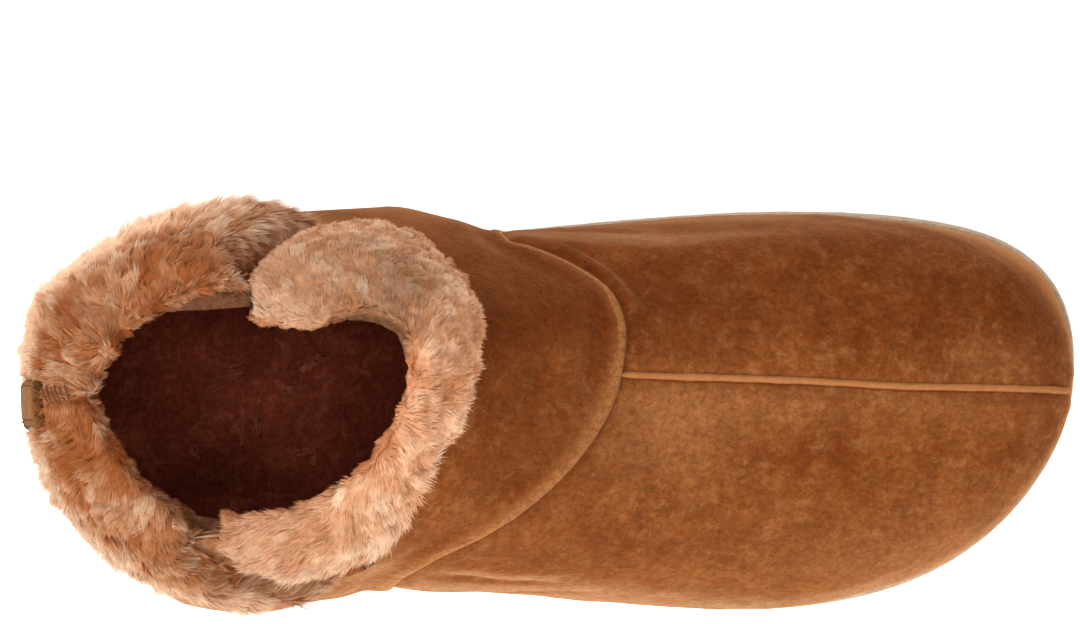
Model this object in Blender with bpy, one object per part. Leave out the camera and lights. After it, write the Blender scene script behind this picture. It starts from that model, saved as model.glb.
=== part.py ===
"""A right-foot sheepskin bootie slipper: outsole, insole, hollow upper, two cuff flaps and a heel tab.

+X points to the toe, +Y to the medial (big toe) side and +Z up. The origin is on the floor under the heel.
Every size below is in millimetres, and MM turns them into metres when a mesh is made.

The upper is a stack of closed rings, one row of UPPER_RINGS for each, from the sole up to the collar. The
inside of the wall, the edge of the insole and the cuff all come from the same rings, moved along the
surface's normal. A place round a ring is its turn: 0 at the toe, 0.25 on the medial side, 0.5 at the heel
and 0.75 on the lateral side.
"""

from collections import namedtuple
from functools import lru_cache
import math

import bpy
import bmesh
import numpy as np

MM = 0.001

# Clearance between pieces that touch, and a little more where a cuff's flap follows the curve of the wall.
GAP = 0.3
CUFF_GAP = 0.4

# Wall of the upper: 1.5 mm suede and the dense pile inside it.
WALL = 7.5

# Mesh fineness: places round every ring, and rows from one table row to the next.
COLUMNS = 64
HALF = COLUMNS // 2
ROWS_BETWEEN = 2

# One closed outline, as seen from above. Each side has its y at four stations along the length, its spread
# from the middle line at the tip before the end is rounded off, and the power of that rounding.
SIDE_COLUMNS = "heel_{0} shaft_{0} waist_{0} ball_{0} tip_spread_{0} toe_power_{0}"
Ring = namedtuple(
    "Ring",
    "height back_x front_x heel_y tip_y heel_power "
    + SIDE_COLUMNS.format("medial")
    + " "
    + SIDE_COLUMNS.format("lateral"),
)
STATIONS = {"heel": 0.15, "shaft": 0.38, "waist": 0.56, "ball": 0.78}
END_POWER = 2.3

SOLE_RING = Ring(
    0, -36, 235.9, 0, 13.5, 3.2, 39.0, 46.8, 51.5, 53.5, 29.8, 13.0, -39.0, -45.0, -50.8, -49.8, -38.0, 7.8
)

UPPER_RINGS = [
    Ring(11, -33.5, 231.0, 0, 13, 3.2, 37.5, 45.0, 49.8, 51.5, 27, 11.0, -37.5, -43.2, -49.0, -48.2, -37, 7.4),
    Ring(22, -36.0, 232.0, 0, 12, 3.2, 39.5, 46.2, 50.6, 52.6, 30, 9.0, -39.5, -44.2, -50.0, -49.2, -36, 7.2),
    Ring(34, -37.0, 225.0, 1, 11, 3.0, 41.0, 47.2, 49.8, 50.6, 34, 6.6, -41.2, -44.6, -48.6, -47.6, -40, 5.6),
    Ring(46, -36.5, 203.0, 2, 11, 2.8, 41.5, 49.8, 48.0, 47.0, 34, 5.0, -42.5, -45.0, -46.0, -44.0, -48, 4.2),
    Ring(57, -35.0, 170.0, 3, 11, 2.7, 41.5, 51.8, 48.8, 43.8, 33, 4.2, -42.5, -45.5, -44.0, -40.0, -53, 3.3),
    Ring(68, -32.0, 138.0, 4, 11, 2.6, 41.0, 52.2, 51.0, 41.0, 31, 3.8, -40.0, -45.5, -42.5, -36.5, -54, 3.0),
    Ring(79, -28.5, 115.0, 6, 11, 2.5, 40.0, 49.6, 48.8, 39.8, 29, 3.6, -35.5, -43.0, -39.5, -32.5, -52, 2.8),
    Ring(91, -25.5, 95.5, 7, 12, 2.4, 37.5, 45.4, 45.2, 38.0, 25, 3.5, -29.5, -38.5, -36.0, -28.0, -44, 2.7),
    Ring(106, -22.5, 76.5, 8, 13, 2.3, 33.5, 39.5, 39.0, 34.4, 19, 3.5, -23.0, -33.0, -32.0, -23.5, -33, 2.7),
    Ring(121, -20.0, 68.0, 8, 14, 2.3, 29.0, 33.5, 33.5, 30.5, 13, 3.5, -17.0, -28.0, -28.0, -20.0, -30, 2.7),
]

# The sole's underside and top along its length: flat under heel and ball, raised at the arch and toe.
SoleStation = namedtuple("SoleStation", "x bottom top")
SOLE_STATIONS = [
    SoleStation(-36, 2.5, 11.5),
    SoleStation(-24, 0.0, 11.0),
    SoleStation(34, 0.0, 11.0),
    SoleStation(72, 2.6, 11.0),
    SoleStation(108, 0.0, 10.5),
    SoleStation(172, 0.0, 10.5),
    SoleStation(208, 3.0, 12.5),
    SoleStation(236, 9.0, 17.5),
]

# Rows round the sole's edge: inset from the outline, and share of the way from underside to top.
SoleEdge = namedtuple("SoleEdge", "inset share")
SOLE_EDGE = [
    SoleEdge(4.0, 0.0),
    SoleEdge(1.6, 0.05),
    SoleEdge(0.4, 0.25),
    SoleEdge(0.0, 0.6),
    SoleEdge(0.6, 0.92),
    SoleEdge(1.4, 1.0),
]

# Tread: slots across the sole between the lugs, inside a rim that is left whole.
SLOT_WIDTH = 4.5
SLOT_DEPTH = 2.0
SLOT_RIM = 9.0
SLOT_END_SIDES = 4
HEEL_SLOTS = (-18, 12, 3)
BALL_SLOTS = (114, 14, 5)

# The upper's lowest and highest rings, and the height over the seat where the sole's rise no longer shows.
SEAT = UPPER_RINGS[0].height
COLLAR = UPPER_RINGS[-1].height
SPRING_FADE = 50.0

# Steps used to find the surface's normal, and points in the fine line along one side of a ring.
SMALL_TURN = 0.002
SMALL_RISE = 0.5
FINE_POINTS = 400

# The turned-down cuff: rows on its outside, and how far its crest stands over the collar.
CUFF_ROWS = 5
CUFF_CREST = 7.0

# Share of a flap's thickness at rows from its low edge up to the collar, and its crest as pairs of
# (share of the way across the wall, share of the crest's height), from the inside to the outside.
CUFF_SWELL = (0.6, 0.95, 1.0, 1.0, 0.95, 0.85)
CUFF_OVER = ((-0.05, 0.45), (0.25, 0.85), (0.75, 1.0), (1.3, 0.85))

# Each flap of the cuff: the turns of its two ends at the collar and at its low edge, and at places from 0
# to 1 along it the drop of its low edge below the collar and its thickness.
FlapStation = namedtuple("FlapStation", "place drop thickness")
Flap = namedtuple("Flap", "name start start_low end end_low columns stations")
FLAPS = [
    Flap(
        "cuff_front", -0.290, -0.244, 0.240, 0.202, 30,
        (
            FlapStation(0.00, 17.0, 5.0),
            FlapStation(0.05, 21.0, 8.5),
            FlapStation(0.18, 20.0, 9.5),
            FlapStation(0.36, 9.5, 5.5),
            FlapStation(0.55, 13.0, 8.0),
            FlapStation(0.74, 22.0, 12.5),
            FlapStation(0.92, 29.0, 12.0),
            FlapStation(1.00, 24.0, 7.0),
        ),
    ),
    Flap(
        "cuff_back", 0.246, 0.208, 0.704, 0.790, 26,
        (
            FlapStation(0.00, 27.0, 7.0),
            FlapStation(0.08, 33.0, 12.0),
            FlapStation(0.18, 34.0, 13.0),
            FlapStation(0.50, 34.0, 10.0),
            FlapStation(0.82, 34.0, 10.0),
            FlapStation(0.92, 34.0, 9.0),
            FlapStation(1.00, 34.0, 5.5),
        ),
    ),
]

# The heel tab: a strip of suede on the outside of the back flap, from its low edge up to a row of its crest.
TAB_WIDTH = 12.0
TAB_THICKNESS = 1.6
TAB_COLUMNS = 5
TAB_TURN = 0.509
TAB_TOP_ROW = 3

# Each material: base colour (linear), roughness.
Finish = namedtuple("Finish", "color roughness")
FINISHES = {
    "suede": Finish((0.28, 0.10, 0.03, 1.0), 0.95),
    "sheepskin": Finish((0.52, 0.27, 0.15, 1.0), 1.0),
    "wool": Finish((0.06, 0.012, 0.008, 1.0), 1.0),
    "rubber": Finish((0.42, 0.32, 0.24, 1.0), 0.7),
}


def smooth_curve(known_x, known_y, x):
    """A smooth curve through the known points that never overshoots them (monotone cubic)."""
    known_x = np.asarray(known_x, float)
    known_y = np.asarray(known_y, float)
    x = np.clip(x, known_x[0], known_x[-1])
    step = np.diff(known_x)
    slope = np.diff(known_y) / step
    tangent = np.zeros_like(known_y)
    tangent[0] = slope[0]
    tangent[-1] = slope[-1]
    for i in range(1, len(known_x) - 1):
        if slope[i - 1] * slope[i] > 0:
            before = 2 * step[i] + step[i - 1]
            after = step[i] + 2 * step[i - 1]
            tangent[i] = (before + after) / (before / slope[i - 1] + after / slope[i])
    i = np.clip(np.searchsorted(known_x, x, side="right") - 1, 0, len(step) - 1)
    t = (x - known_x[i]) / step[i]
    value = known_y[i] * (1 + 2 * t) * (1 - t) ** 2
    value += known_y[i + 1] * t**2 * (3 - 2 * t)
    value += tangent[i] * step[i] * t * (1 - t) ** 2
    value -= tangent[i + 1] * step[i] * t**2 * (1 - t)
    return value


def sole_bottom(x):
    """Height of the sole's underside at x."""
    return smooth_curve([s.x for s in SOLE_STATIONS], [s.bottom for s in SOLE_STATIONS], x)


def sole_top(x):
    """Height of the sole's top, on which the upper and the insole sit, at x."""
    return smooth_curve([s.x for s in SOLE_STATIONS], [s.top for s in SOLE_STATIONS], x)


@lru_cache(maxsize=None)
def ring_at(height):
    """The upper's ring at a height, read smoothly between the rows of the table."""
    heights = [ring.height for ring in UPPER_RINGS]
    return Ring(*(float(smooth_curve(heights, column, height)) for column in zip(*UPPER_RINGS)))


def end_rounding(along, toe_power, heel_power):
    """Share of the side line's width left at a place along a ring, from 0 at its ends to 1 in the middle."""
    reach = np.abs(2 * along - 1)
    power = np.where(along > 0.5, toe_power, heel_power)
    return np.clip(1 - reach**power, 0, 1) ** (1 / END_POWER)


def ring_side(ring, side, along):
    """The y of one side of a ring at places from 0 at its back to 1 at its front."""
    toe_power = getattr(ring, "toe_power_" + side)
    stations = np.array(list(STATIONS.values()))
    widths = np.array([getattr(ring, name + "_" + side) for name in STATIONS])
    center = ring.heel_y + (ring.tip_y - ring.heel_y) * stations
    spreads = (widths - center) / end_rounding(stations, toe_power, ring.heel_power)
    line = np.polyfit(stations, spreads, len(stations) - 1)
    past_last = np.clip((along - stations[-1]) / (1 - stations[-1]), 0, 1)
    bend = getattr(ring, "tip_spread_" + side) - np.polyval(line, 1.0)
    spread = np.polyval(line, along) + bend * past_last**2
    middle = ring.heel_y + (ring.tip_y - ring.heel_y) * along
    return middle + spread * end_rounding(along, toe_power, ring.heel_power)


@lru_cache(maxsize=None)
def traced_side(ring, side):
    """One side of a ring from its tip to its heel as a fine line: length so far, x and y."""
    along = 0.5 + 0.5 * np.cos(np.linspace(0, math.pi, FINE_POINTS))
    x = ring.back_x + (ring.front_x - ring.back_x) * along
    y = ring_side(ring, side, along)
    length = np.concatenate([[0], np.cumsum(np.hypot(np.diff(x), np.diff(y)))])
    return length, x, y


def ring_point(ring, turn):
    """The x and y of a ring at a turn. Turns are spaced evenly by length on each side."""
    turn = turn % 1.0
    side = "medial" if turn <= 0.5 else "lateral"
    share = 2 * min(turn, 1 - turn)
    length, x, y = traced_side(ring, side)
    wanted = share * length[-1]
    return np.interp(wanted, length, x), np.interp(wanted, length, y)


def upper_point(height, turn):
    """A point of the upper's outer surface. The lowest rings follow the sole's rise at the toe."""
    x, y = ring_point(ring_at(height), turn)
    spring = sole_top(x) + GAP - SEAT
    fade = max(0.0, 1 - (height - SEAT) / SPRING_FADE)
    return np.array([x, y, height + spring * fade])


def shell_point(height, turn, offset):
    """A point of the upper's outer surface, moved outwards along its normal."""
    forward = upper_point(height, turn + SMALL_TURN) - upper_point(height, turn - SMALL_TURN)
    above = upper_point(min(height + SMALL_RISE, COLLAR), turn)
    below = upper_point(max(height - SMALL_RISE, SEAT), turn)
    normal = np.cross(forward, above - below)
    return upper_point(height, turn) + normal / np.linalg.norm(normal) * offset


def shell_grid(heights, turns, offset):
    """Rows of shell points, one row for each height."""
    return np.array([[shell_point(height, turn, offset) for turn in turns] for height in heights])


def all_turns():
    """The turns of every column of a whole ring."""
    return np.arange(COLUMNS) / COLUMNS


def wall_heights():
    """Heights of the rows of the upper's wall."""
    rows = np.arange((len(UPPER_RINGS) - 1) * ROWS_BETWEEN + 1) / ROWS_BETWEEN
    return np.interp(rows, np.arange(len(UPPER_RINGS)), [ring.height for ring in UPPER_RINGS])


def add_grid(mesh, grid):
    """Put a grid of points in a bmesh and give its vertices back, row by row."""
    return [[mesh.verts.new(tuple(point)) for point in row] for row in grid]


def join_rows(mesh, lower, upper, closed=True):
    """Quads between two rows of vertices."""
    count = len(lower)
    for i in range(count if closed else count - 1):
        j = (i + 1) % count
        mesh.faces.new((lower[i], lower[j], upper[j], upper[i]))


def cap_ring(mesh, ring):
    """Close a whole ring with strips from its medial to its lateral side."""
    for i in range(HALF):
        strip = [ring[i], ring[i + 1], ring[-i - 1], ring[-i]]
        corners = [corner for n, corner in enumerate(strip) if corner not in strip[:n]]
        mesh.faces.new(corners)


def make_part(name, mesh, finish):
    """Turn a bmesh in millimetres into a named object with its own material."""
    bmesh.ops.recalc_face_normals(mesh, faces=mesh.faces)
    bmesh.ops.scale(mesh, vec=(MM, MM, MM), verts=mesh.verts)
    data = bpy.data.meshes.new(name)
    mesh.to_mesh(data)
    mesh.free()
    data.shade_smooth()
    data.set_sharp_from_angle(angle=math.radians(40))
    part = bpy.data.objects.new(name, data)
    bpy.context.collection.objects.link(part)
    if finish:
        data.materials.append(make_material(name, finish))
    return part


def make_material(name, finish):
    """A Principled BSDF material with a finish's colour and roughness."""
    material = bpy.data.materials.new(name)
    material.use_nodes = True
    shader = material.node_tree.nodes["Principled BSDF"]
    shader.inputs["Base Color"].default_value = FINISHES[finish].color
    shader.inputs["Roughness"].default_value = FINISHES[finish].roughness
    shader.inputs["Metallic"].default_value = 0.0
    return material


def sole_outline():
    """The sole's outline as an array of x and y, a row for each column."""
    return np.array([ring_point(SOLE_RING, turn) for turn in all_turns()])


def inset_outline(points, inset):
    """Move a closed outline inwards along its own normals."""
    along = np.roll(points, -1, axis=0) - np.roll(points, 1, axis=0)
    outward = np.column_stack([along[:, 1], -along[:, 0]])
    outward /= np.linalg.norm(outward, axis=1, keepdims=True)
    return points - outward * inset


def make_slot(name, x, low_y, high_y):
    """A cutter for one tread slot: a bar across the sole with round ends."""
    radius = SLOT_WIDTH / 2
    outline = []
    for end_y, start in ((high_y - radius, 0.0), (low_y + radius, math.pi)):
        for i in range(SLOT_END_SIDES + 1):
            angle = start + math.pi * i / SLOT_END_SIDES
            outline.append((x + radius * math.cos(angle), end_y + radius * math.sin(angle)))
    mesh = bmesh.new()
    bottom = [mesh.verts.new((px, py, -SLOT_DEPTH)) for px, py in outline]
    top = [mesh.verts.new((px, py, SLOT_DEPTH)) for px, py in outline]
    join_rows(mesh, bottom, top)
    mesh.faces.new(bottom)
    mesh.faces.new(top)
    slot = make_part(name, mesh, None)
    slot.hide_render = True
    slot.display_type = "WIRE"
    return slot


def make_outsole():
    """The outsole: its outline, arch and toe spring, with the tread's slots cut into its flat places."""
    outline = sole_outline()
    mesh = bmesh.new()
    rows = []
    for edge in SOLE_EDGE:
        plan = inset_outline(outline, edge.inset)
        low = sole_bottom(plan[:, 0])
        high = sole_top(plan[:, 0])
        grid = np.column_stack([plan, low + (high - low) * edge.share])
        rows += add_grid(mesh, [grid])
    for lower, upper in zip(rows, rows[1:]):
        join_rows(mesh, lower, upper)
    cap_ring(mesh, rows[0])
    cap_ring(mesh, rows[-1])
    outsole = make_part("outsole", mesh, "rubber")
    for first, pitch, count in (HEEL_SLOTS, BALL_SLOTS):
        for i in range(count):
            x = first + pitch * i
            along = (x - SOLE_RING.back_x) / (SOLE_RING.front_x - SOLE_RING.back_x)
            low_y = ring_side(SOLE_RING, "lateral", along) + SLOT_RIM
            high_y = ring_side(SOLE_RING, "medial", along) - SLOT_RIM
            cut = outsole.modifiers.new("tread", "BOOLEAN")
            cut.operation = "DIFFERENCE"
            cut.object = make_slot("slot", x, low_y, high_y)
    return outsole


def make_insole():
    """The insole: a plate on the outsole, cut to the inside of the upper's wall."""
    grid = shell_grid(wall_heights()[:2], all_turns(), -WALL - GAP)
    grid[0, :, 2] = sole_top(grid[0, :, 0]) + GAP
    mesh = bmesh.new()
    rows = add_grid(mesh, grid)
    join_rows(mesh, rows[0], rows[1])
    cap_ring(mesh, rows[0])
    cap_ring(mesh, rows[1])
    return make_part("insole", mesh, "wool")


def make_upper():
    """The upper: vamp and shaft in one hollow wall, open at the collar and over the sole."""
    outer = shell_grid(wall_heights(), all_turns(), 0.0)
    inner = shell_grid(wall_heights(), all_turns(), -WALL)
    inner[0, :, 2] = sole_top(inner[0, :, 0]) + GAP
    inner[-1, :, 2] = COLLAR
    mesh = bmesh.new()
    loop = add_grid(mesh, outer) + add_grid(mesh, inner)[::-1]
    for lower, upper in zip(loop, loop[1:] + loop[:1]):
        join_rows(mesh, lower, upper)
    return make_part("upper", mesh, "suede")


def flap_size(flap, place):
    """The drop and the thickness of a flap at a place from 0 to 1 along it."""
    places, drops, thicknesses = zip(*flap.stations)
    return smooth_curve(places, drops, place), smooth_curve(places, thicknesses, place)


def flap_ends(flap, up):
    """The turns of a flap's two ends at a share of the way up from its low edge to the collar."""
    start = flap.start_low + (flap.start - flap.start_low) * up
    end = flap.end_low + (flap.end - flap.end_low) * up
    return start, end


def flap_section(flap, place, extra=0.0):
    """The cuff's section at a place along a flap, as two lines of points.

    The first runs up the shaft and over its wall to the inside of the collar. The second runs on from there,
    over the crest and down the outside to the low edge, moved outwards by extra.
    """
    drop, thickness = flap_size(flap, place)
    against = []
    outside = []
    for row, swell in enumerate(CUFF_SWELL):
        up = row / CUFF_ROWS
        height = COLLAR - drop * (1 - up)
        start, end = flap_ends(flap, up)
        turn = start + (end - start) * place
        against.append(shell_point(height, turn, CUFF_GAP))
        outside.append(shell_point(height, turn, CUFF_GAP + thickness * swell + extra))
    rim_outer = against[-1]
    rim_inner = shell_point(COLLAR, turn, -WALL)
    rim_outer[2] = COLLAR + CUFF_GAP
    rim_inner[2] = COLLAR + CUFF_GAP
    crest = []
    for across, rise in CUFF_OVER:
        point = rim_inner + (rim_outer - rim_inner) * across
        point[2] = COLLAR + CUFF_GAP + CUFF_CREST * rise + extra
        crest.append(point)
    return against + [rim_inner], crest + outside[::-1]


def make_cuff(flap):
    """One flap of the turned-down cuff."""
    sections = []
    for place in np.linspace(0, 1, flap.columns):
        against, over = flap_section(flap, place)
        sections.append(against + over)
    return make_loft(flap.name, sections, CUFF_ROWS, "sheepskin")


def cap_section(mesh, section, steps):
    """Close a section with quads between points counted from its two ends, then one face for what is left."""
    for i in range(steps):
        mesh.faces.new((section[i], section[i + 1], section[-i - 2], section[-i - 1]))
    rest = section[steps : len(section) - steps]
    if len(rest) > 2:
        mesh.faces.new(rest)


def make_loft(name, sections, cap_steps, finish):
    """A part through closed sections of equal length, closed at its first and last section."""
    mesh = bmesh.new()
    rows = add_grid(mesh, sections)
    for before, after in zip(rows, rows[1:]):
        join_rows(mesh, before, after)
    cap_section(mesh, rows[0], cap_steps)
    cap_section(mesh, rows[-1], cap_steps)
    return make_part(name, mesh, finish)


def tab_layer(flap, extra):
    """Points of the heel tab just outside a flap, a line for each column, with one width all the way."""

    def point(row, turn):
        """The flap's outside at a turn, on a row counted from the inside of the crest to the low edge."""
        up = min(1.0, (CUFF_ROWS + len(CUFF_OVER) - row) / CUFF_ROWS)
        start, end = flap_ends(flap, up)
        return flap_section(flap, (turn - start) / (end - start), extra)[1][row]

    layer = []
    for across in np.linspace(-TAB_WIDTH / 2, TAB_WIDTH / 2, TAB_COLUMNS):
        column = []
        for row in range(TAB_TOP_ROW, len(CUFF_OVER) + CUFF_ROWS + 1):
            reach = np.linalg.norm(point(row, TAB_TURN + SMALL_TURN) - point(row, TAB_TURN - SMALL_TURN))
            column.append(point(row, TAB_TURN + across * 2 * SMALL_TURN / reach))
        layer.append(column)
    return layer


def make_heel_tab(flap):
    """The heel tab, between two layers just outside the back flap."""
    under = tab_layer(flap, GAP)
    over = tab_layer(flap, GAP + TAB_THICKNESS)
    sections = [inside + outside[::-1] for inside, outside in zip(under, over)]
    return make_loft("heel_tab", sections, len(under[0]) - 1, "suede")


def build():
    """Clear the scene and make every part."""
    for existing in list(bpy.data.objects):
        bpy.data.objects.remove(existing)
    make_outsole()
    make_insole()
    make_upper()
    for flap in FLAPS:
        make_cuff(flap)
    make_heel_tab(FLAPS[-1])


build()
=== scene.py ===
"""The looks of a right-foot sheepskin bootie slipper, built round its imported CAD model.

+X points to the toe, +Y to the medial (big toe) side and +Z up. Every size is in millimetres until a mesh is
made. The upper, its lining, the insole and the two flaps of the cuff are made again from the same rings that
the CAD part is built from, because this script can't read that part's source.
"""

from collections import namedtuple
from functools import lru_cache
import math

import bpy
import numpy as np
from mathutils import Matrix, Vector


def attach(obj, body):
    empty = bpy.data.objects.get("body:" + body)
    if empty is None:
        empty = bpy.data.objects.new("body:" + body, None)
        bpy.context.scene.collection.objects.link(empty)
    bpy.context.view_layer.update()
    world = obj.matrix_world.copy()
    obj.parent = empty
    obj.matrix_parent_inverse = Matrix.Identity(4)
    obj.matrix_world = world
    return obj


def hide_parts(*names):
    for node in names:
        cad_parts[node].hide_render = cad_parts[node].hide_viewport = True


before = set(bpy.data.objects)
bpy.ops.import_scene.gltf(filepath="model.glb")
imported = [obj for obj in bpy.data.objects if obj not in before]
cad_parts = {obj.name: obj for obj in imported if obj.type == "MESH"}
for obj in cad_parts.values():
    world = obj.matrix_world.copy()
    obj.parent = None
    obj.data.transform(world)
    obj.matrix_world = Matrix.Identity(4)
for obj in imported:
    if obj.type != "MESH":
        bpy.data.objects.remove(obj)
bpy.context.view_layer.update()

MM = 0.001

# ---------------------------------------------------------------- the CAD part's own sizes

CUFF_GAP = 0.4
GAP = 0.3
WALL = 7.5

SIDE_COLUMNS = "heel_{0} shaft_{0} waist_{0} ball_{0} tip_spread_{0} toe_power_{0}"
Ring = namedtuple(
    "Ring",
    "height back_x front_x heel_y tip_y heel_power "
    + SIDE_COLUMNS.format("medial")
    + " "
    + SIDE_COLUMNS.format("lateral"),
)
STATIONS = {"heel": 0.15, "shaft": 0.38, "waist": 0.56, "ball": 0.78}
END_POWER = 2.3
UPPER_RINGS = [
    Ring(11, -33.5, 231, 0, 13, 3.2, 37.5, 45.0, 49.8, 51.5, 27, 11.0, -37.5, -43.2, -49.0, -48.2, -37, 7.4),
    Ring(22, -36.0, 232.0, 0, 12, 3.2, 39.5, 46.2, 50.6, 52.6, 30, 9.0, -39.5, -44.2, -50.0, -49.2, -36, 7.2),
    Ring(34, -37.0, 225.0, 1, 11, 3.0, 41.0, 47.2, 49.8, 50.6, 34, 6.6, -41.2, -44.6, -48.6, -47.6, -40, 5.6),
    Ring(46, -36.5, 203.0, 2, 11, 2.8, 41.5, 49.8, 48.0, 47.0, 34, 5.0, -42.5, -45.0, -46.0, -44.0, -48, 4.2),
    Ring(57, -35.0, 170.0, 3, 11, 2.7, 41.5, 51.8, 48.8, 43.8, 33, 4.2, -42.5, -45.5, -44.0, -40.0, -53, 3.3),
    Ring(68, -32.0, 138.0, 4, 11, 2.6, 41.0, 52.2, 51.0, 41.0, 31, 3.8, -40.0, -45.5, -42.5, -36.5, -54, 3.0),
    Ring(79, -28.5, 115.0, 6, 11, 2.5, 40.0, 49.6, 48.8, 39.8, 29, 3.6, -35.5, -43.0, -39.5, -32.5, -52, 2.8),
    Ring(91, -25.5, 95.5, 7, 12, 2.4, 37.5, 45.4, 45.2, 38.0, 25, 3.5, -29.5, -38.5, -36.0, -28.0, -44, 2.7),
    Ring(106, -22.5, 76.5, 8, 13, 2.3, 33.5, 39.5, 39.0, 34.4, 19, 3.5, -23.0, -33.0, -32.0, -23.5, -33, 2.7),
    Ring(121, -20.0, 68.0, 8, 14, 2.3, 29.0, 33.5, 33.5, 30.5, 13, 3.5, -17.0, -28.0, -28.0, -20.0, -30, 2.7),
]
SEAT = UPPER_RINGS[0].height
COLLAR = UPPER_RINGS[-1].height
SPRING_FADE = 50.0
FINE_POINTS = 400

# The sole's outline, and the height of its top and its underside along its length.
SOLE_RING = Ring(
    0, -36, 235.9, 0, 13.5, 3.2, 39.0, 46.8, 51.5, 53.5, 29.8, 13.0, -39.0, -45.0, -50.8, -49.8, -38.0, 7.8,
)
SOLE_X = (-36, -24, 34, 72, 108, 172, 208, 236)
SOLE_TOP_Z = (11.5, 11.0, 11.0, 11.0, 10.5, 10.5, 12.5, 17.5)
SOLE_BOTTOM_Z = (2.5, 0.0, 0.0, 2.6, 0.0, 0.0, 3.0, 9.0)

# The cuff's flaps, from the low edge to the collar and over the crest, as in the CAD part.
CUFF_ROWS = 5
CUFF_CREST = 7.0
CUFF_SWELL = (0.6, 0.95, 1.0, 1.0, 0.95, 0.85)
CUFF_OVER = ((-0.05, 0.45), (0.25, 0.85), (0.75, 1.0), (1.3, 0.85))
FlapStation = namedtuple("FlapStation", "place drop thickness")
Flap = namedtuple("Flap", "name start start_low end end_low stations")
CUFF_FRONT = Flap(
    "cuff_front", -0.290, -0.244, 0.240, 0.202,
    (
        FlapStation(0.00, 17.0, 5.0),
        FlapStation(0.05, 21.0, 8.5),
        FlapStation(0.18, 20.0, 9.5),
        FlapStation(0.36, 9.5, 5.5),
        FlapStation(0.55, 13.0, 8.0),
        FlapStation(0.74, 22.0, 12.5),
        FlapStation(0.92, 29.0, 12.0),
        FlapStation(1.00, 24.0, 7.0),
    ),
)
CUFF_BACK = Flap(
    "cuff_back", 0.246, 0.208, 0.704, 0.790,
    (
        FlapStation(0.00, 27.0, 7.0),
        FlapStation(0.08, 33.0, 12.0),
        FlapStation(0.18, 34.0, 13.0),
        FlapStation(0.50, 34.0, 10.0),
        FlapStation(0.82, 34.0, 10.0),
        FlapStation(0.92, 34.0, 9.0),
        FlapStation(1.00, 34.0, 5.5),
    ),
)


def smooth_curve(known_x, known_y, x):
    """A smooth curve through the known points that never overshoots them (monotone cubic)."""
    known_x = np.asarray(known_x, float)
    known_y = np.asarray(known_y, float)
    x = np.clip(x, known_x[0], known_x[-1])
    step = np.diff(known_x)
    slope = np.diff(known_y) / step
    tangent = np.zeros_like(known_y)
    tangent[0] = slope[0]
    tangent[-1] = slope[-1]
    for i in range(1, len(known_x) - 1):
        if slope[i - 1] * slope[i] > 0:
            before = 2 * step[i] + step[i - 1]
            after = step[i] + 2 * step[i - 1]
            tangent[i] = (before + after) / (before / slope[i - 1] + after / slope[i])
    i = np.clip(np.searchsorted(known_x, x, side="right") - 1, 0, len(step) - 1)
    t = (x - known_x[i]) / step[i]
    value = known_y[i] * (1 + 2 * t) * (1 - t) ** 2
    value += known_y[i + 1] * t**2 * (3 - 2 * t)
    value += tangent[i] * step[i] * t * (1 - t) ** 2
    value -= tangent[i + 1] * step[i] * t**2 * (1 - t)
    return value


def sole_top(x):
    """Height of the sole's top at x."""
    return smooth_curve(SOLE_X, SOLE_TOP_Z, x)


@lru_cache(maxsize=None)
def ring_at(height):
    """The upper's ring at a height."""
    heights = [ring.height for ring in UPPER_RINGS]
    return Ring(*(float(smooth_curve(heights, column, height)) for column in zip(*UPPER_RINGS)))


def end_rounding(along, toe_power, heel_power):
    """Share of the side line's width left at a place along a ring."""
    reach = np.abs(2 * along - 1)
    power = np.where(along > 0.5, toe_power, heel_power)
    return np.clip(1 - reach**power, 0, 1) ** (1 / END_POWER)


def ring_side(ring, side, along):
    """The y of one side of a ring at places from 0 at its back to 1 at its front."""
    toe_power = getattr(ring, "toe_power_" + side)
    stations = np.array(list(STATIONS.values()))
    widths = np.array([getattr(ring, name + "_" + side) for name in STATIONS])
    center = ring.heel_y + (ring.tip_y - ring.heel_y) * stations
    spreads = (widths - center) / end_rounding(stations, toe_power, ring.heel_power)
    line = np.polyfit(stations, spreads, len(stations) - 1)
    past_last = np.clip((along - stations[-1]) / (1 - stations[-1]), 0, 1)
    bend = getattr(ring, "tip_spread_" + side) - np.polyval(line, 1.0)
    spread = np.polyval(line, along) + bend * past_last**2
    middle = ring.heel_y + (ring.tip_y - ring.heel_y) * along
    return middle + spread * end_rounding(along, toe_power, ring.heel_power)


# ---------------------------------------------------------------- the upper's surface as a fine table

ROW_STEP = 0.5
TURN_STEPS = 1440


def ring_line(ring):
    """x and y of a ring at TURN_STEPS turns, spaced evenly by length on each side."""
    along = 0.5 + 0.5 * np.cos(np.linspace(0, math.pi, FINE_POINTS))
    x = ring.back_x + (ring.front_x - ring.back_x) * along
    share = np.arange(TURN_STEPS // 2 + 1) / (TURN_STEPS // 2)
    sides = []
    for side in ("medial", "lateral"):
        y = ring_side(ring, side, along)
        length = np.concatenate([[0], np.cumsum(np.hypot(np.diff(x), np.diff(y)))])
        wanted = share * length[-1]
        sides.append(np.column_stack([np.interp(wanted, length, x), np.interp(wanted, length, y)]))
    return np.vstack([sides[0][:-1], sides[1][:0:-1]])


def unit(vectors):
    """Vectors scaled to length 1."""
    return vectors / np.maximum(np.linalg.norm(vectors, axis=-1, keepdims=True), 1e-9)


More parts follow.
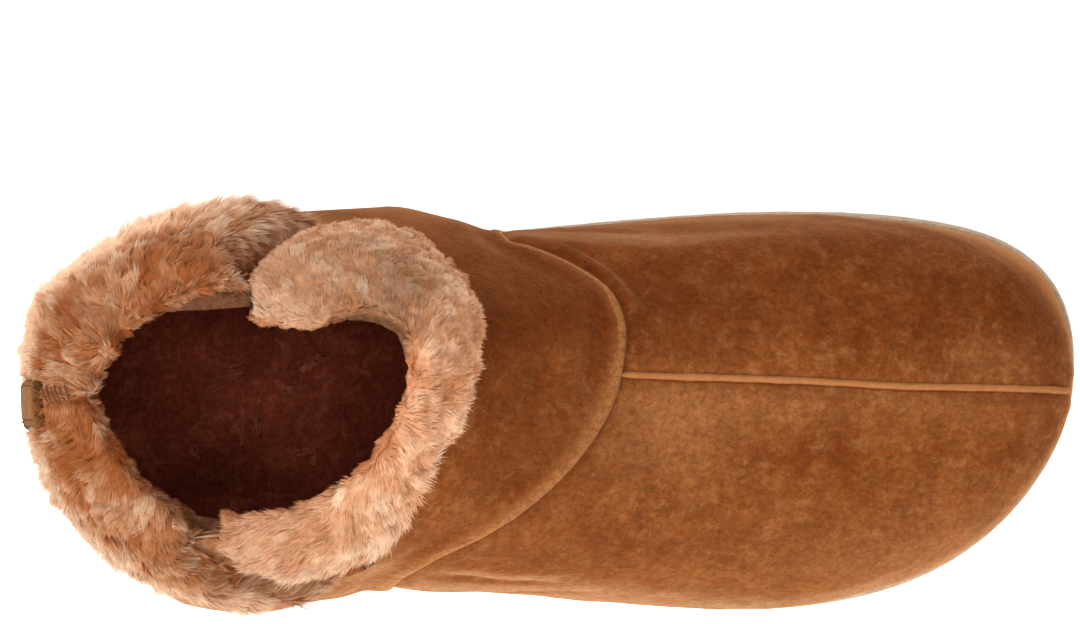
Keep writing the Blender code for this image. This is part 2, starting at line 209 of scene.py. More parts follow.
def make_surface():
    """Points and outward normals of the upper's outside, a row for each ROW_STEP of height."""
    heights = np.arange(SEAT, COLLAR + ROW_STEP / 2, ROW_STEP)
    flat = np.array([ring_line(ring_at(float(height))) for height in heights])
    fade = np.clip(1 - (heights - SEAT) / SPRING_FADE, 0, 1)
    rise = (sole_top(flat[..., 0]) + GAP - SEAT) * fade[:, None]
    points = np.dstack([flat, heights[:, None] + rise])
    forward = np.roll(points, -4, axis=1) - np.roll(points, 4, axis=1)
    upward = np.gradient(points, axis=0)
    return points, unit(np.cross(forward, upward))


SURFACE, SURFACE_NORMALS = make_surface()
FLAT_SURFACE = SURFACE.reshape(-1, 3)
FLAT_NORMALS = SURFACE_NORMALS.reshape(-1, 3)


def look_up(grid, height, turn):
    """Values of a surface table at heights and turns, blended between its rows and columns."""
    row = np.clip((np.asarray(height, float) - SEAT) / ROW_STEP, 0, len(grid) - 1.0001)
    column = (np.asarray(turn, float) % 1.0) * TURN_STEPS
    i = row.astype(int)
    j = column.astype(int) % TURN_STEPS
    k = (j + 1) % TURN_STEPS
    f = (row - i)[..., None]
    g = (column - np.floor(column))[..., None]
    below = grid[i, j] * (1 - g) + grid[i, k] * g
    above = grid[i + 1, j] * (1 - g) + grid[i + 1, k] * g
    return below * (1 - f) + above * f


def shell(height, turn, offset=0.0):
    """Points of the upper's outside, moved outwards along its normals."""
    height, turn, offset = np.broadcast_arrays(height, turn, offset)
    return look_up(SURFACE, height, turn) + unit(look_up(SURFACE_NORMALS, height, turn)) * offset[..., None]


def nearest_on_surface(points):
    """Height and turn of the surface's nearest table place for each point."""
    coarse = SURFACE[::2, ::4].reshape(-1, 3)
    width = TURN_STEPS // 4
    found = []
    for point in np.asarray(points, float):
        i = int(np.argmin(((coarse - point) ** 2).sum(axis=1)))
        found.append((SEAT + (i // width) * 2 * ROW_STEP, (i % width) * 4 / TURN_STEPS))
    return np.array(found)


# ---------------------------------------------------------------- noise

def scramble(cells, seed):
    """A fixed number from 0 to 1 for each whole-numbered cell."""
    cells = cells.astype(np.int64)
    mixed = cells[..., 0] * 73856093 ^ cells[..., 1] * 19349663 ^ cells[..., 2] * 83492791 ^ (seed * 40503)
    mixed = (mixed ^ (mixed >> 13)) * 1274126177 & 0xFFFFFFFF
    mixed = (mixed ^ (mixed >> 15)) * 2246822519 & 0xFFFFFFFF
    return ((mixed ^ (mixed >> 16)) & 0xFFFFFF) / float(0x1000000)


def soft_noise(points, size, seed):
    """Smooth noise from -1 to 1 with features of a size."""
    scaled = points / size
    cell = np.floor(scaled)
    share = scaled - cell
    share = share * share * (3 - 2 * share)
    total = 0.0
    for corner in np.ndindex(2, 2, 2):
        corner = np.array(corner)
        weight = np.prod(np.where(corner, share, 1 - share), axis=-1)
        total = total + weight * scramble(cell + corner, seed)
    return total * 2 - 1


def layered_noise(points, size, seed, layers):
    """Soft noise with finer layers on top."""
    total = sum(soft_noise(points, size / 2**n, seed + n) / 2**n for n in range(layers))
    return total / (2 - 2.0 ** (1 - layers))


def lock_cells(points, size, seed):
    """For each point: distance to the nearest lock's middle, as a share of size, and that middle."""
    scaled = points / size
    cell = np.floor(scaled)
    first = np.full(points.shape[:-1], 9.0)
    middle = np.zeros_like(points)
    for corner in np.ndindex(3, 3, 3):
        there = cell + np.array(corner) - 1
        spot = there + np.stack([scramble(there, seed + n) for n in range(3)], axis=-1)
        distance = np.linalg.norm(spot - scaled, axis=-1)
        closer = distance < first
        middle = np.where(closer[..., None], spot, middle)
        first = np.where(closer, distance, first)
    return first, middle * size


def bump_at(values, center, width):
    """A soft hill of height 1 round a value."""
    return np.exp(-(((values - center) / width) ** 2))


def patch_at(points, x, y, reach_x, reach_y):
    """A soft hill of height 1 round a place in plan."""
    return np.exp(-(((points[..., 0] - x) / reach_x) ** 2) - ((points[..., 1] - y) / reach_y) ** 2)


def ease(values, low, high):
    """0 below low, 1 above high, smooth between."""
    share = np.clip((values - low) / (high - low), 0, 1)
    return share * share * (3 - 2 * share)


# ---------------------------------------------------------------- meshes

def mix_tints(first, second, share):
    """Blend two tints by an array of shares."""
    return np.asarray(first) * (1 - share[..., None]) + np.asarray(second) * share[..., None]


def grid_faces(rows, columns, closed_rows=False, closed_columns=True):
    """Quads between the points of a grid, numbered row by row."""
    i = np.arange(rows if closed_rows else rows - 1)[:, None]
    j = np.arange(columns if closed_columns else columns - 1)[None, :]
    down = (i + 1) % rows
    right = (j + 1) % columns
    here, below = i * columns, down * columns
    return np.stack([here + j, here + right, below + right, below + j], axis=-1).reshape(-1, 4)


def tube_faces(rows, columns):
    """The quads of a tube of rings, and the faces that close its two ends."""
    ring = np.arange(columns)[None]
    return [grid_faces(rows, columns)[:, ::-1], ring, ring[:, ::-1] + (rows - 1) * columns]


def make_piece(name, points, faces, material, tints=None, normals=None):
    """A mesh piece on the root body, from points in millimetres and arrays of faces."""
    mesh = bpy.data.meshes.new(name)
    loops = np.concatenate([part.ravel() for part in faces]).astype(np.int32)
    totals = np.concatenate([np.full(len(part), part.shape[1]) for part in faces]).astype(np.int32)
    starts = np.concatenate([[0], np.cumsum(totals)[:-1]]).astype(np.int32)
    mesh.vertices.add(len(points))
    mesh.vertices.foreach_set("co", (np.asarray(points) * MM).astype(np.float32).ravel())
    mesh.loops.add(len(loops))
    mesh.loops.foreach_set("vertex_index", loops)
    mesh.polygons.add(len(totals))
    mesh.polygons.foreach_set("loop_start", starts)
    mesh.polygons.foreach_set("loop_total", totals)
    mesh.polygons.foreach_set("use_smooth", np.full(len(totals), True))
    mesh.update(calc_edges=True)
    if tints is not None:
        layer = mesh.color_attributes.new(name="tint", type="FLOAT_COLOR", domain="POINT")
        colors = np.column_stack([tints, np.ones(len(tints))])
        layer.data.foreach_set("color", colors.astype(np.float32).ravel())
    if normals is not None:
        mesh.normals_split_custom_set_from_vertices(normals.tolist())
    mesh.materials.append(material)
    piece = bpy.data.objects.new(name, mesh)
    bpy.context.scene.collection.objects.link(piece)
    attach(piece, "root")
    return piece


def line_distance(points, line):
    """Distance of each point to a line of points, and the number of its nearest one."""
    flat = points.reshape(-1, 3)
    distance = np.empty(len(flat))
    nearest = np.empty(len(flat), int)
    for start in range(0, len(flat), 4000):
        block = flat[start : start + 4000]
        gaps = ((block[:, None] - line[None]) ** 2).sum(axis=-1)
        nearest[start : start + 4000] = gaps.argmin(axis=1)
        distance[start : start + 4000] = np.sqrt(gaps.min(axis=1))
    return distance.reshape(points.shape[:-1]), nearest.reshape(points.shape[:-1])


def run_length(points):
    """The length of a line of points, up to each of them."""
    return np.concatenate([[0], np.cumsum(np.linalg.norm(np.diff(points, axis=0), axis=1))])


def even_line(points, step):
    """A smooth line through points, with one every step."""
    points = np.asarray(points, float)
    length = run_length(points)
    wanted = np.linspace(0, length[-1], max(3, int(length[-1] / step) + 1))
    return np.column_stack([smooth_curve(length, points[:, k], wanted) for k in range(points.shape[1])])


# ---------------------------------------------------------------- seams and creases

# The seam between shaft and vamp: x of the seam at angles round an axis along the foot, at y 5 and z 20.
# Angle 0 is the medial side, 90 the top and 180 the lateral side.
SEAM_AXIS_Y = 5.0
SEAM_AXIS_Z = 20.0
SEAM_ANGLES = (-12, 10, 30, 44, 51, 55, 59, 65, 72, 80, 90, 98, 106, 114, 121, 128, 140, 160, 192)
SEAM_X = (
    84, 84, 84, 84.5, 87.5, 99.5, 107.5, 112.5, 115.2, 115.2, 112, 107.5, 99.5, 87.5, 70.5, 61, 55, 50.5, 49,
)


def seam_x(angle):
    """x of the shaft's seam at an angle round the foot's axis, in degrees."""
    return smooth_curve(SEAM_ANGLES, SEAM_X, angle)


def around(points):
    """Angle of points round the foot's axis, in degrees, from -90 under the medial side to 270."""
    angle = np.degrees(np.arctan2(points[..., 2] - SEAM_AXIS_Z, points[..., 1] - SEAM_AXIS_Y))
    return np.where(angle < -90, angle + 360, angle)


def settle(line):
    """A line moved straight onto the upper's surface."""
    near = [((FLAT_SURFACE - point) ** 2).sum(axis=1).argmin() for point in line]
    lift = ((line - FLAT_SURFACE[near]) * FLAT_NORMALS[near]).sum(axis=1)
    return line - FLAT_NORMALS[near] * lift[:, None]


def trace_seam():
    """The shaft's seam on the upper's surface, from the medial sole over the top to the lateral sole."""
    ahead = SURFACE[..., 0] - seam_x(around(SURFACE))
    line = []
    for i in range(len(SURFACE)):
        crossing = np.nonzero(ahead[i] * np.roll(ahead[i], -1) < 0)[0]
        for j in crossing:
            share = ahead[i, j] / (ahead[i, j] - ahead[i, (j + 1) % TURN_STEPS])
            line.append(SURFACE[i, j] * (1 - share) + SURFACE[i, (j + 1) % TURN_STEPS] * share)
    line = np.array(line)
    line = line[np.argsort(around(line))]
    return settle(even_line(line[:: max(1, len(line) // 60)], 0.8))


# The axis that each face looks along, and the way it looks.
FACES = {"top": (2, 1), "medial": (1, 1), "lateral": (1, -1)}
FACING_LEAST = 0.12


def on_face(face, x, other):
    """The upper's surface point at a place on a face: x and y on top, or x and z on a side."""
    axis, way = FACES[face]
    facing = FLAT_NORMALS[:, axis] * way > FACING_LEAST
    gap = np.where(facing, (FLAT_SURFACE[:, 0] - x) ** 2 + (FLAT_SURFACE[:, 3 - axis] - other) ** 2, np.inf)
    near = np.argsort(gap)[:4]
    return np.average(FLAT_SURFACE[near], axis=0, weights=1 / (gap[near] + 0.01))


SHAFT_SEAM = trace_seam()

# The vamp's centre seam in plan, from the shaft's seam to the tip, and then down the toe.
CENTRE_SEAM_PLAN = ((113.5, 11.2), (124, 10.6), (135, 10.2), (161, 9.2), (187, 7.7), (214, 7.0), (226, 6.6))
CENTRE_SEAM_TOE = ((231.3, 6.4, 30.0), (232.6, 6.2, 24.0), (233.0, 6.1, 18.5))


def trace_centre_seam():
    """The vamp's centre seam on the upper's surface."""
    top = [on_face("top", x, y) for x, y in even_line(CENTRE_SEAM_PLAN, 4.0)]
    front = [tuple(shell(height, turn)) for height, turn in nearest_on_surface(CENTRE_SEAM_TOE)]
    rough = even_line(np.array(top + front), 1.0)
    for _ in range(12):
        rough[1:-1] = (rough[:-2] + 2 * rough[1:-1] + rough[2:]) / 4
    return rough


CENTRE_SEAM = trace_centre_seam()

# Soft creases: how deep (negative) or proud, how wide, and the places they run through.
# "top" places are x, y in plan; "medial" and "lateral" places are x, z on that side.
Crease = namedtuple("Crease", "face depth width places")
CREASES = (
    Crease("top", 0.55, 1.5, ((100, 42.8), (106, 39.8), (111.5, 36.0), (116, 30.5), (118.5, 25))),
    Crease("top", -0.5, 1.3, ((99, 45.0), (106, 42.0), (113, 38.0), (118.5, 32.0), (121.2, 25))),
    Crease("top", -0.35, 0.8, ((94.6, 9.2), (96.2, 12.4), (95.2, 15.4), (96.6, 18.4))),
    Crease("top", -0.3, 0.7, ((90.5, 12.6), (95.4, 12.8), (99.2, 14.2))),
    Crease("top", -0.3, 0.7, ((93.0, 16.6), (96.0, 13.6), (98.6, 9.6))),
    Crease("top", -0.7, 2.0, ((63, -39.2), (75, -40.9), (90, -42.4), (104, -42.6))),
    Crease("top", 0.5, 2.4, ((66, -36.8), (78, -38.2), (92, -39.4), (108, -39.0))),
    Crease("top", -0.5, 5.0, ((88, 33), (93, 24), (94, 14), (92, 2), (86, -10))),
    Crease("top", -0.45, 6.0, ((128, 34), (146, 31), (166, 33), (186, 31))),
    Crease("top", 0.4, 7.0, ((130, 22), (152, 21), (176, 20), (200, 18))),
    Crease("top", -0.4, 6.0, ((126, -8), (146, -13), (168, -12), (190, -16))),
    Crease("top", 0.4, 6.0, ((120, -22), (142, -25), (164, -26), (188, -24))),
    Crease("medial", 1.3, 11.0, ((50, 30), (54, 50), (58, 70), (60, 92))),
    Crease("medial", -1.7, 7.0, ((80, 30), (82, 48), (83, 62), (84, 80))),
    Crease("lateral", -2.0, 9.0, ((49, 26), (51, 46), (53, 66), (54, 90))),
    Crease("lateral", 3.4, 11.0, ((-8, 68), (4, 70), (16, 72), (38, 74))),
    Crease("lateral", -2.0, 10.0, ((-16, 24), (-14, 44), (-12, 66), (-10, 84))),
    Crease("lateral", -2.2, 12.0, ((-29, 26), (-29, 46), (-28, 66))),
    Crease("medial", -1.1, 3.2, ((52, 60), (62, 56), (74, 55), (84, 58))),
    Crease("medial", 0.8, 3.6, ((50, 66), (62, 62), (74, 61), (86, 65))),
    Crease("medial", -0.9, 3.0, ((28, 50), (40, 46), (54, 45), (66, 48))),
    Crease("medial", -0.5, 3.2, ((84, 44), (96, 41), (110, 42), (124, 46))),
    Crease("medial", -0.6, 4.5, ((-14, 62), (-2, 56), (10, 53), (22, 54))),
    Crease("medial", -0.3, 3.6, ((120, 30), (136, 27), (152, 27), (168, 30))),
    Crease("lateral", -1.0, 3.2, ((30, 62), (42, 57), (54, 56), (64, 60))),
    Crease("lateral", 0.7, 3.4, ((28, 69), (42, 64), (54, 63), (66, 67))),
    Crease("lateral", -0.8, 2.8, ((12, 48), (26, 44), (40, 44), (52, 47))),
    Crease("lateral", -0.7, 2.6, ((70, 48), (84, 45), (98, 46), (112, 50))),
    Crease("lateral", -0.6, 4.5, ((-16, 60), (-4, 55), (8, 53), (20, 55))),
    Crease("lateral", -0.5, 3.0, ((104, 28), (120, 25), (138, 25), (154, 28))),
)


def crease_line(crease):
    """The points of a crease on the upper's surface."""
    rough = [on_face(crease.face, x, other) for x, other in even_line(crease.places, 3.0)]
    return even_line(np.array(rough), 1.0)


CREASE_LINES = [crease_line(crease) for crease in CREASES]
HEM_MIDDLE = 6.0
HEM_EDGE = 1.9
SHAFT_LIFT = 0.6
SEAM_ROLL = 0.5


def crease_relief(points):
    """How far the soft creases lift or sink the upper's surface."""
    relief = np.zeros(points.shape[:-1])
    for crease, line in zip(CREASES, CREASE_LINES):
        low = line.min(axis=0) - 3 * crease.width
        high = line.max(axis=0) + 3 * crease.width
        inside = np.all((points > low) & (points < high), axis=-1)
        if not inside.any():
            continue
        distance, nearest = line_distance(points[inside], line)
        along = nearest / (len(line) - 1)
        ends = ease(along, 0, 0.3) * ease(1 - along, 0, 0.3)
        relief[inside] += crease.depth * ends * bump_at(distance, 0, crease.width)
    return relief


def toe_roll(turns):
    """1 along the rolled band round the medial toe, 0 elsewhere."""
    return ease(turns, 0.0, 0.03) * (1 - ease(turns, 0.09, 0.17))


def make_hem_gap():
    """How far the upper's hem stands inside the sole's edge, at each turn."""
    outline = ring_line(SOLE_RING)
    hem = SURFACE[int(HEM_MIDDLE / ROW_STEP), :, :2]
    return np.linalg.norm(hem[:, None] - outline[None], axis=-1).min(axis=1)


HEM_GAP = make_hem_gap()


def hem_push(points, turns):
    """How far the hem swells towards the sole's edge round the toe."""
    above_sole = points[..., 2] - sole_top(points[..., 0])
    gap = np.interp(turns, np.arange(TURN_STEPS) / TURN_STEPS, HEM_GAP, period=1.0)
    push = np.clip(gap - HEM_EDGE, 0, None) * ease(points[..., 0], 110, 150)
    roll = toe_roll(turns)
    return push * (roll * (1 - ease(above_sole, 4.5, 15.0)) + (1 - roll) * (1 - ease(above_sole, 7.0, 19.0)))


def soft_relief(points, turns):
    """The relief that skin and seams share: creases, soft waves and the swelling hem."""
    relief = crease_relief(points) + hem_push(points, turns)
    relief += 0.55 * layered_noise(points, 26.0, 11, 2)
    return relief + 0.22 * layered_noise(points, 7.0, 21, 2)


def skin_relief(points, turns):
    """How far the suede stands off the CAD surface.

    Also how far each point lies ahead of the shaft's seam, and how far from the centre seam.
    """
    distance, _ = line_distance(points, SHAFT_SEAM)
    ahead = np.where(points[..., 0] > seam_x(around(points)), distance, -distance)
    behind = 1 - ease(ahead, -0.9, 0.3)
    relief = SHAFT_LIFT * behind * (0.5 + 0.5 * ease(around(points), 50, 64))
    relief += SEAM_ROLL * bump_at(ahead, -2.2, 1.9) * behind
    relief -= 0.3 * bump_at(ahead, -7.5, 3.0)
    relief -= 0.3 * bump_at(ahead, 1.1, 0.8)
    relief += 0.25 * bump_at(ahead, 4.5, 2.5) * (1 - behind)
    centre, _ = line_distance(points, CENTRE_SEAM)
    relief -= 0.45 * bump_at(centre, 0, 1.5)
    relief += 0.35 * bump_at(centre, 4.5, 2.2) * (1 - behind)
    relief += soft_relief(points, turns)
    above_sole = points[..., 2] - sole_top(points[..., 0])
    relief += 0.35 * bump_at(above_sole, 4.0, 4.0)
    relief -= 0.3 * bump_at(above_sole, 12.5, 2.4)
    return relief, ahead, centre


# ---------------------------------------------------------------- materials

class Writer:
    """Writes the nodes of one material."""

    def __init__(self, name, roughness, sheen=0.0, sheen_roughness=0.5, sheen_tint=(1, 1, 1), specular=0.3):
        self.material = bpy.data.materials.new(name)
        self.material.use_nodes = True
        self.tree = self.material.node_tree
        self.shader = self.tree.nodes["Principled BSDF"]
        self.feed({
            "Roughness": roughness, "Sheen Weight": sheen, "Sheen Roughness": sheen_roughness,
            "Sheen Tint": sheen_tint, "Specular IOR Level": specular,
        })
        self.coordinates = self.node("TexCoord", {}, "Object")

    def feed(self, inputs, node=None):
        """Feed a node's inputs, or the shader's, from sockets, numbers or colours, and leave None alone."""
        for name, value in inputs.items():
            socket = (node or self.shader).inputs[name]
            if isinstance(value, bpy.types.NodeSocket):
                self.tree.links.new(value, socket)
            elif isinstance(value, tuple):
                socket.default_value = (*value, 1)[: len(socket.default_value)]
            elif value is not None:
                socket.default_value = value

    def node(self, kind, inputs, output=0, **options):
        """One output of a new node, after its options are set and its inputs fed."""
        node = self.tree.nodes.new("ShaderNode" + kind)
        for name, value in options.items():
            setattr(node, name, value)
        self.feed(inputs, node)
        return node.outputs[output]

    def noise(self, size, detail, roughness=0.55, distortion=0.0, stretch=None):
        """Noise with features of a size in millimetres."""
        source = self.coordinates
        if stretch is not None:
            source = self.node("Mapping", {"Scale": stretch, "Vector": source}, "Vector")
        return self.node("TexNoise", {
            "Scale": 1 / (size * MM), "Detail": detail, "Roughness": roughness, "Distortion": distortion,
            "Vector": source,
        }, "Fac")

    def cells(self, size):
        """Distance to the nearest of scattered points, a size in millimetres apart."""
        inputs = {"Scale": 1 / (size * MM), "Vector": self.coordinates}
        return self.node("TexVoronoi", inputs, "Distance", feature="F1")

    def range(self, value, low, high, out_low=0.0, out_high=1.0):
        """Stretch low to high onto another range, and clamp it."""
        inputs = {"Value": value, "From Min": low, "From Max": high, "To Min": out_low, "To Max": out_high}
        return self.node("MapRange", inputs, "Result", interpolation_type="SMOOTHSTEP")

    def math(self, operation, first, second):
        """One arithmetic step."""
        return self.node("Math", {0: first, 1: second}, operation=operation)

    def mix(self, share, first, second, blend="MIX"):
        """One colour over another."""
        return self.node("Mix", {"Factor": share, 6: first, 7: second}, 2, data_type="RGBA", blend_type=blend)

    def facing(self):
        """0 where the surface faces the viewer, up to 1 at its rim."""
        return self.node("LayerWeight", {}, "Facing")

    def tint(self):
        """The colour painted on the mesh, and its red, green and blue as numbers."""
        color = self.node("Attribute", {}, "Color", attribute_name="tint")
        return (color, *self.node("SeparateColor", {0: color}).node.outputs)

    def bump(self, height, distance, strength, after=None):
        """A bump of a depth in millimetres."""
        inputs = {"Strength": strength, "Distance": distance * MM, "Height": height, "Normal": after}
        return self.node("Bump", inputs, "Normal")

    def finish(self, color, normal=None, roughness=None):
        """Feed the shader and give back the material."""
        self.feed({"Base Color": color, "Normal": normal, "Roughness": roughness})
        return self.material


def suede_material(name, dark, middle, light, sheen=0.24, rim=(1.3, 1.85, 2.6)):
    """Napped suede: soft blotches, fine brushed grain and a pale sheen.

    The mesh's tint shifts it: red lightens and green darkens, mostly as painted highlight and painted shade,
    and blue makes it pale, as wear and as painted highlight.
    """
    writer = Writer(name, 0.92, sheen, 0.45, (1.0, 0.46, 0.18), 0.04)
    _, lighter, darker, wear_and_painted_light = writer.tint()
    blotch = writer.range(writer.noise(13.0, 4.0, 0.62, 0.3), 0.36, 0.64)
    color = writer.mix(blotch, dark, middle)
    patch = writer.range(writer.noise(4.6, 5.0, 0.7, 0.3), 0.46, 0.70, 0.0, 0.5)
    color = writer.mix(patch, color, light)
    # Red lightens: mostly painted highlight on seams and edges and painted light on the lateral side, partly
    # the suede's own paler patches.
    color = writer.mix(writer.math("MULTIPLY", lighter, 0.8), color, light)
    # Green mixes in a deeper brown: painted shade in grooves, over the medial side and under the cuff, with
    # some of the suede's own darker patches.
    deep = tuple(c * m for c, m in zip(dark, (0.66, 0.50, 0.35)))
    color = writer.mix(writer.math("MULTIPLY", darker, 0.8), color, deep)
    edge = writer.range(writer.facing(), 0.5, 0.97, 0.0, 0.66)
    edge = writer.math("MULTIPLY", edge, writer.range(darker, 0.0, 1.0, 1.0, 0.25))
    color = writer.mix(edge, color, tuple(min(1.0, c * m) for c, m in zip(light, rim)))
    streak = writer.noise(2.0, 4.0, 0.75, 0.35, (1.0, 1.4, 1.4))
    speck = writer.noise(0.85, 3.0, 0.7, 0.6)
    nap = writer.math(
        "ADD", writer.range(streak, 0.36, 0.64, -0.20, 0.20), writer.range(speck, 0.36, 0.64, 0.92, 1.08),
    )
    color = writer.mix(1.0, color, nap, "MULTIPLY")
    red = writer.range(writer.noise(2.6, 3.0, 0.6, 0.8), 0.52, 0.66, 0.0, 0.45)
    color = writer.mix(red, color, tuple(c * m for c, m in zip(middle, (0.85, 0.62, 0.5))))
    # Blue makes it pale: wear on raised creases, and a painted highlight on the toe's rolled band, the lower
    # edge and the vamp's ridge.
    color = writer.mix(wear_and_painted_light, color, tuple(min(1.0, c * 1.35) for c in light))
    rough = writer.range(writer.noise(2.2, 3.0), 0.3, 0.7, 0.84, 1.0)
    normal = writer.bump(speck, 0.25, 0.8)
    normal = writer.bump(streak, 0.42, 0.8, normal)
    return writer.finish(color, normal, rough)


# Light that real hairs pass on to each other, which keeps the gaps between them warm.
FUR_GLOW = 0.24


def fur_material(name):
    """Strands and the fleece under them, in the colour painted on the mesh with fine variation."""
    writer = Writer(name, 0.85, 0.04, 0.6, (1.0, 0.55, 0.35), 0.0)
    color, *_ = writer.tint()
    shade = writer.range(writer.noise(1.4, 3.0, 0.6), 0.3, 0.7, 0.86, 1.12)
    color = writer.mix(1.0, color, shade, "MULTIPLY")
    glow = writer.mix(1.0, color, color, "MULTIPLY")
    writer.feed({"Emission Color": glow, "Emission Strength": FUR_GLOW})
    return writer.finish(color)


def fleece_material(name):
    """Short dense fleece, in the colour painted on the mesh, with curls in colour and bump."""
    writer = Writer(name, 0.92, 0.09, 0.6, (1.0, 0.45, 0.25), 0.0)
    color, *_ = writer.tint()
    curl = writer.noise(1.3, 4.0, 0.65, 0.6)
    shade = writer.range(curl, 0.3, 0.72, 0.7, 1.35)
    color = writer.mix(1.0, color, shade, "MULTIPLY")
    wisp = writer.range(writer.noise(7.5, 4.0, 0.65, 1.0), 0.48, 0.66, 0.0, 0.65)
    color = writer.mix(wisp, color, writer.mix(1.0, color, (1.7, 2.1, 2.1), "MULTIPLY"))
    normal = writer.bump(curl, 0.8, 0.8)
    return writer.finish(color, normal)


def rubber_material(name):
    """Tan crepe rubber: fine pebbling, a little dirt and paler scuffs."""
    writer = Writer(name, 0.62, 0.0, 0.5, (1, 1, 1), 0.4)
    grain = writer.noise(1.6, 4.0, 0.6)
    color = writer.mix(writer.range(grain, 0.35, 0.7), (0.30, 0.20, 0.12), (0.43, 0.305, 0.195))
    dirt = writer.range(writer.noise(9.0, 4.0, 0.6, 0.5), 0.55, 0.75, 0.0, 0.5)
    color = writer.mix(dirt, color, (0.19, 0.12, 0.07))
    normal = writer.bump(writer.cells(0.9), 0.2, 0.5)
    normal = writer.bump(grain, 0.15, 0.5, normal)
    return writer.finish(color, normal, writer.range(grain, 0.3, 0.7, 0.5, 0.75))


SUEDE = suede_material("suede", (0.124, 0.0275, 0.0036), (0.182, 0.0495, 0.0092), (0.30, 0.118, 0.040))
TAB_SUEDE = suede_material(
    "tab_suede", (0.09, 0.036, 0.011), (0.17, 0.074, 0.023), (0.26, 0.122, 0.044), 0.04, (1.0, 1.0, 1.0),
)
FUR = fur_material("sheepskin_pile")
FLEECE = fleece_material("fleece")
RUBBER = rubber_material("crepe_rubber")


# ---------------------------------------------------------------- the suede upper

# Large soft tones of the suede in plan: x, y, half length, half width, and how much lighter (+) or
# darker (-).
# The darker tones are mostly painted shade, over the medial side and the shaft's front; the lighter ones are
# partly the suede's own paler patches and partly painted light.
TONES = (
    (126, -3, 20, 14, 0.64),
    (150, 4, 30, 7, 0.38),
    (195, 3, 28, 6, 0.25),
    (140, 22, 20, 9, 0.10),
    (205, -24, 22, 12, 0.15),
    (185, -37, 34, 8, 0.40),
    (122, -34, 22, 7, -0.45),
    (165, -36, 24, 9, -0.20),
    (170, -14, 22, 12, -0.15),
    (212, -10, 14, 12, -0.15),
    (88, 12, 20, 22, -0.52),
    (96, -12, 16, 14, -0.40),
    (84, 34, 18, 12, -0.95),
    (222, 27, 9, 13, -0.30),
    (212, 15, 12, 5, 0.35),
    (216, 4, 14, 3, -0.25),
    (196, 28, 14, 8, -0.30),
    (72, -32, 24, 9, -0.35),
    (108, 24, 9, 12, -0.45),
    (130, 28, 18, 12, -0.35),
    (158, 34, 40, 12, -0.35),
    (205, 34, 24, 12, -0.15),
    (206, 6, 22, 12, 0.15),
)

SKIN_COLUMNS = 480
SKIN_ROWS = 168
SKIN_THICKNESS = 1.6
SKIN_PADDING = 1.6
SKIN_INNER_ROWS = 12
# How far below the collar the skin's padding starts, and where it is full.
PADDING_STARTS = 6
PADDING_FULL = 24


def skin_heights():
    """Heights of the skin's rows, closer where the vamp lies flatter."""
    front = SURFACE[:, 0]
    side = SURFACE[:, TURN_STEPS // 4]
    steps = np.linalg.norm(np.diff(front, axis=0), axis=1) + np.linalg.norm(np.diff(side, axis=0), axis=1)
    length = np.concatenate([[0], np.cumsum(steps)])
    heights = SEAT + ROW_STEP * np.arange(len(SURFACE))
    return np.interp(np.linspace(0, length[-1], SKIN_ROWS), length, heights)


def skin_inside(heights, turns, clear=0.0):
    """The skin's inner side: thin at the collar and padded below it, so that no crease runs through."""
    padding = SKIN_PADDING * ease(COLLAR - heights, PADDING_STARTS, PADDING_FULL)
    return shell(heights, turns, -SKIN_THICKNESS - clear - padding)


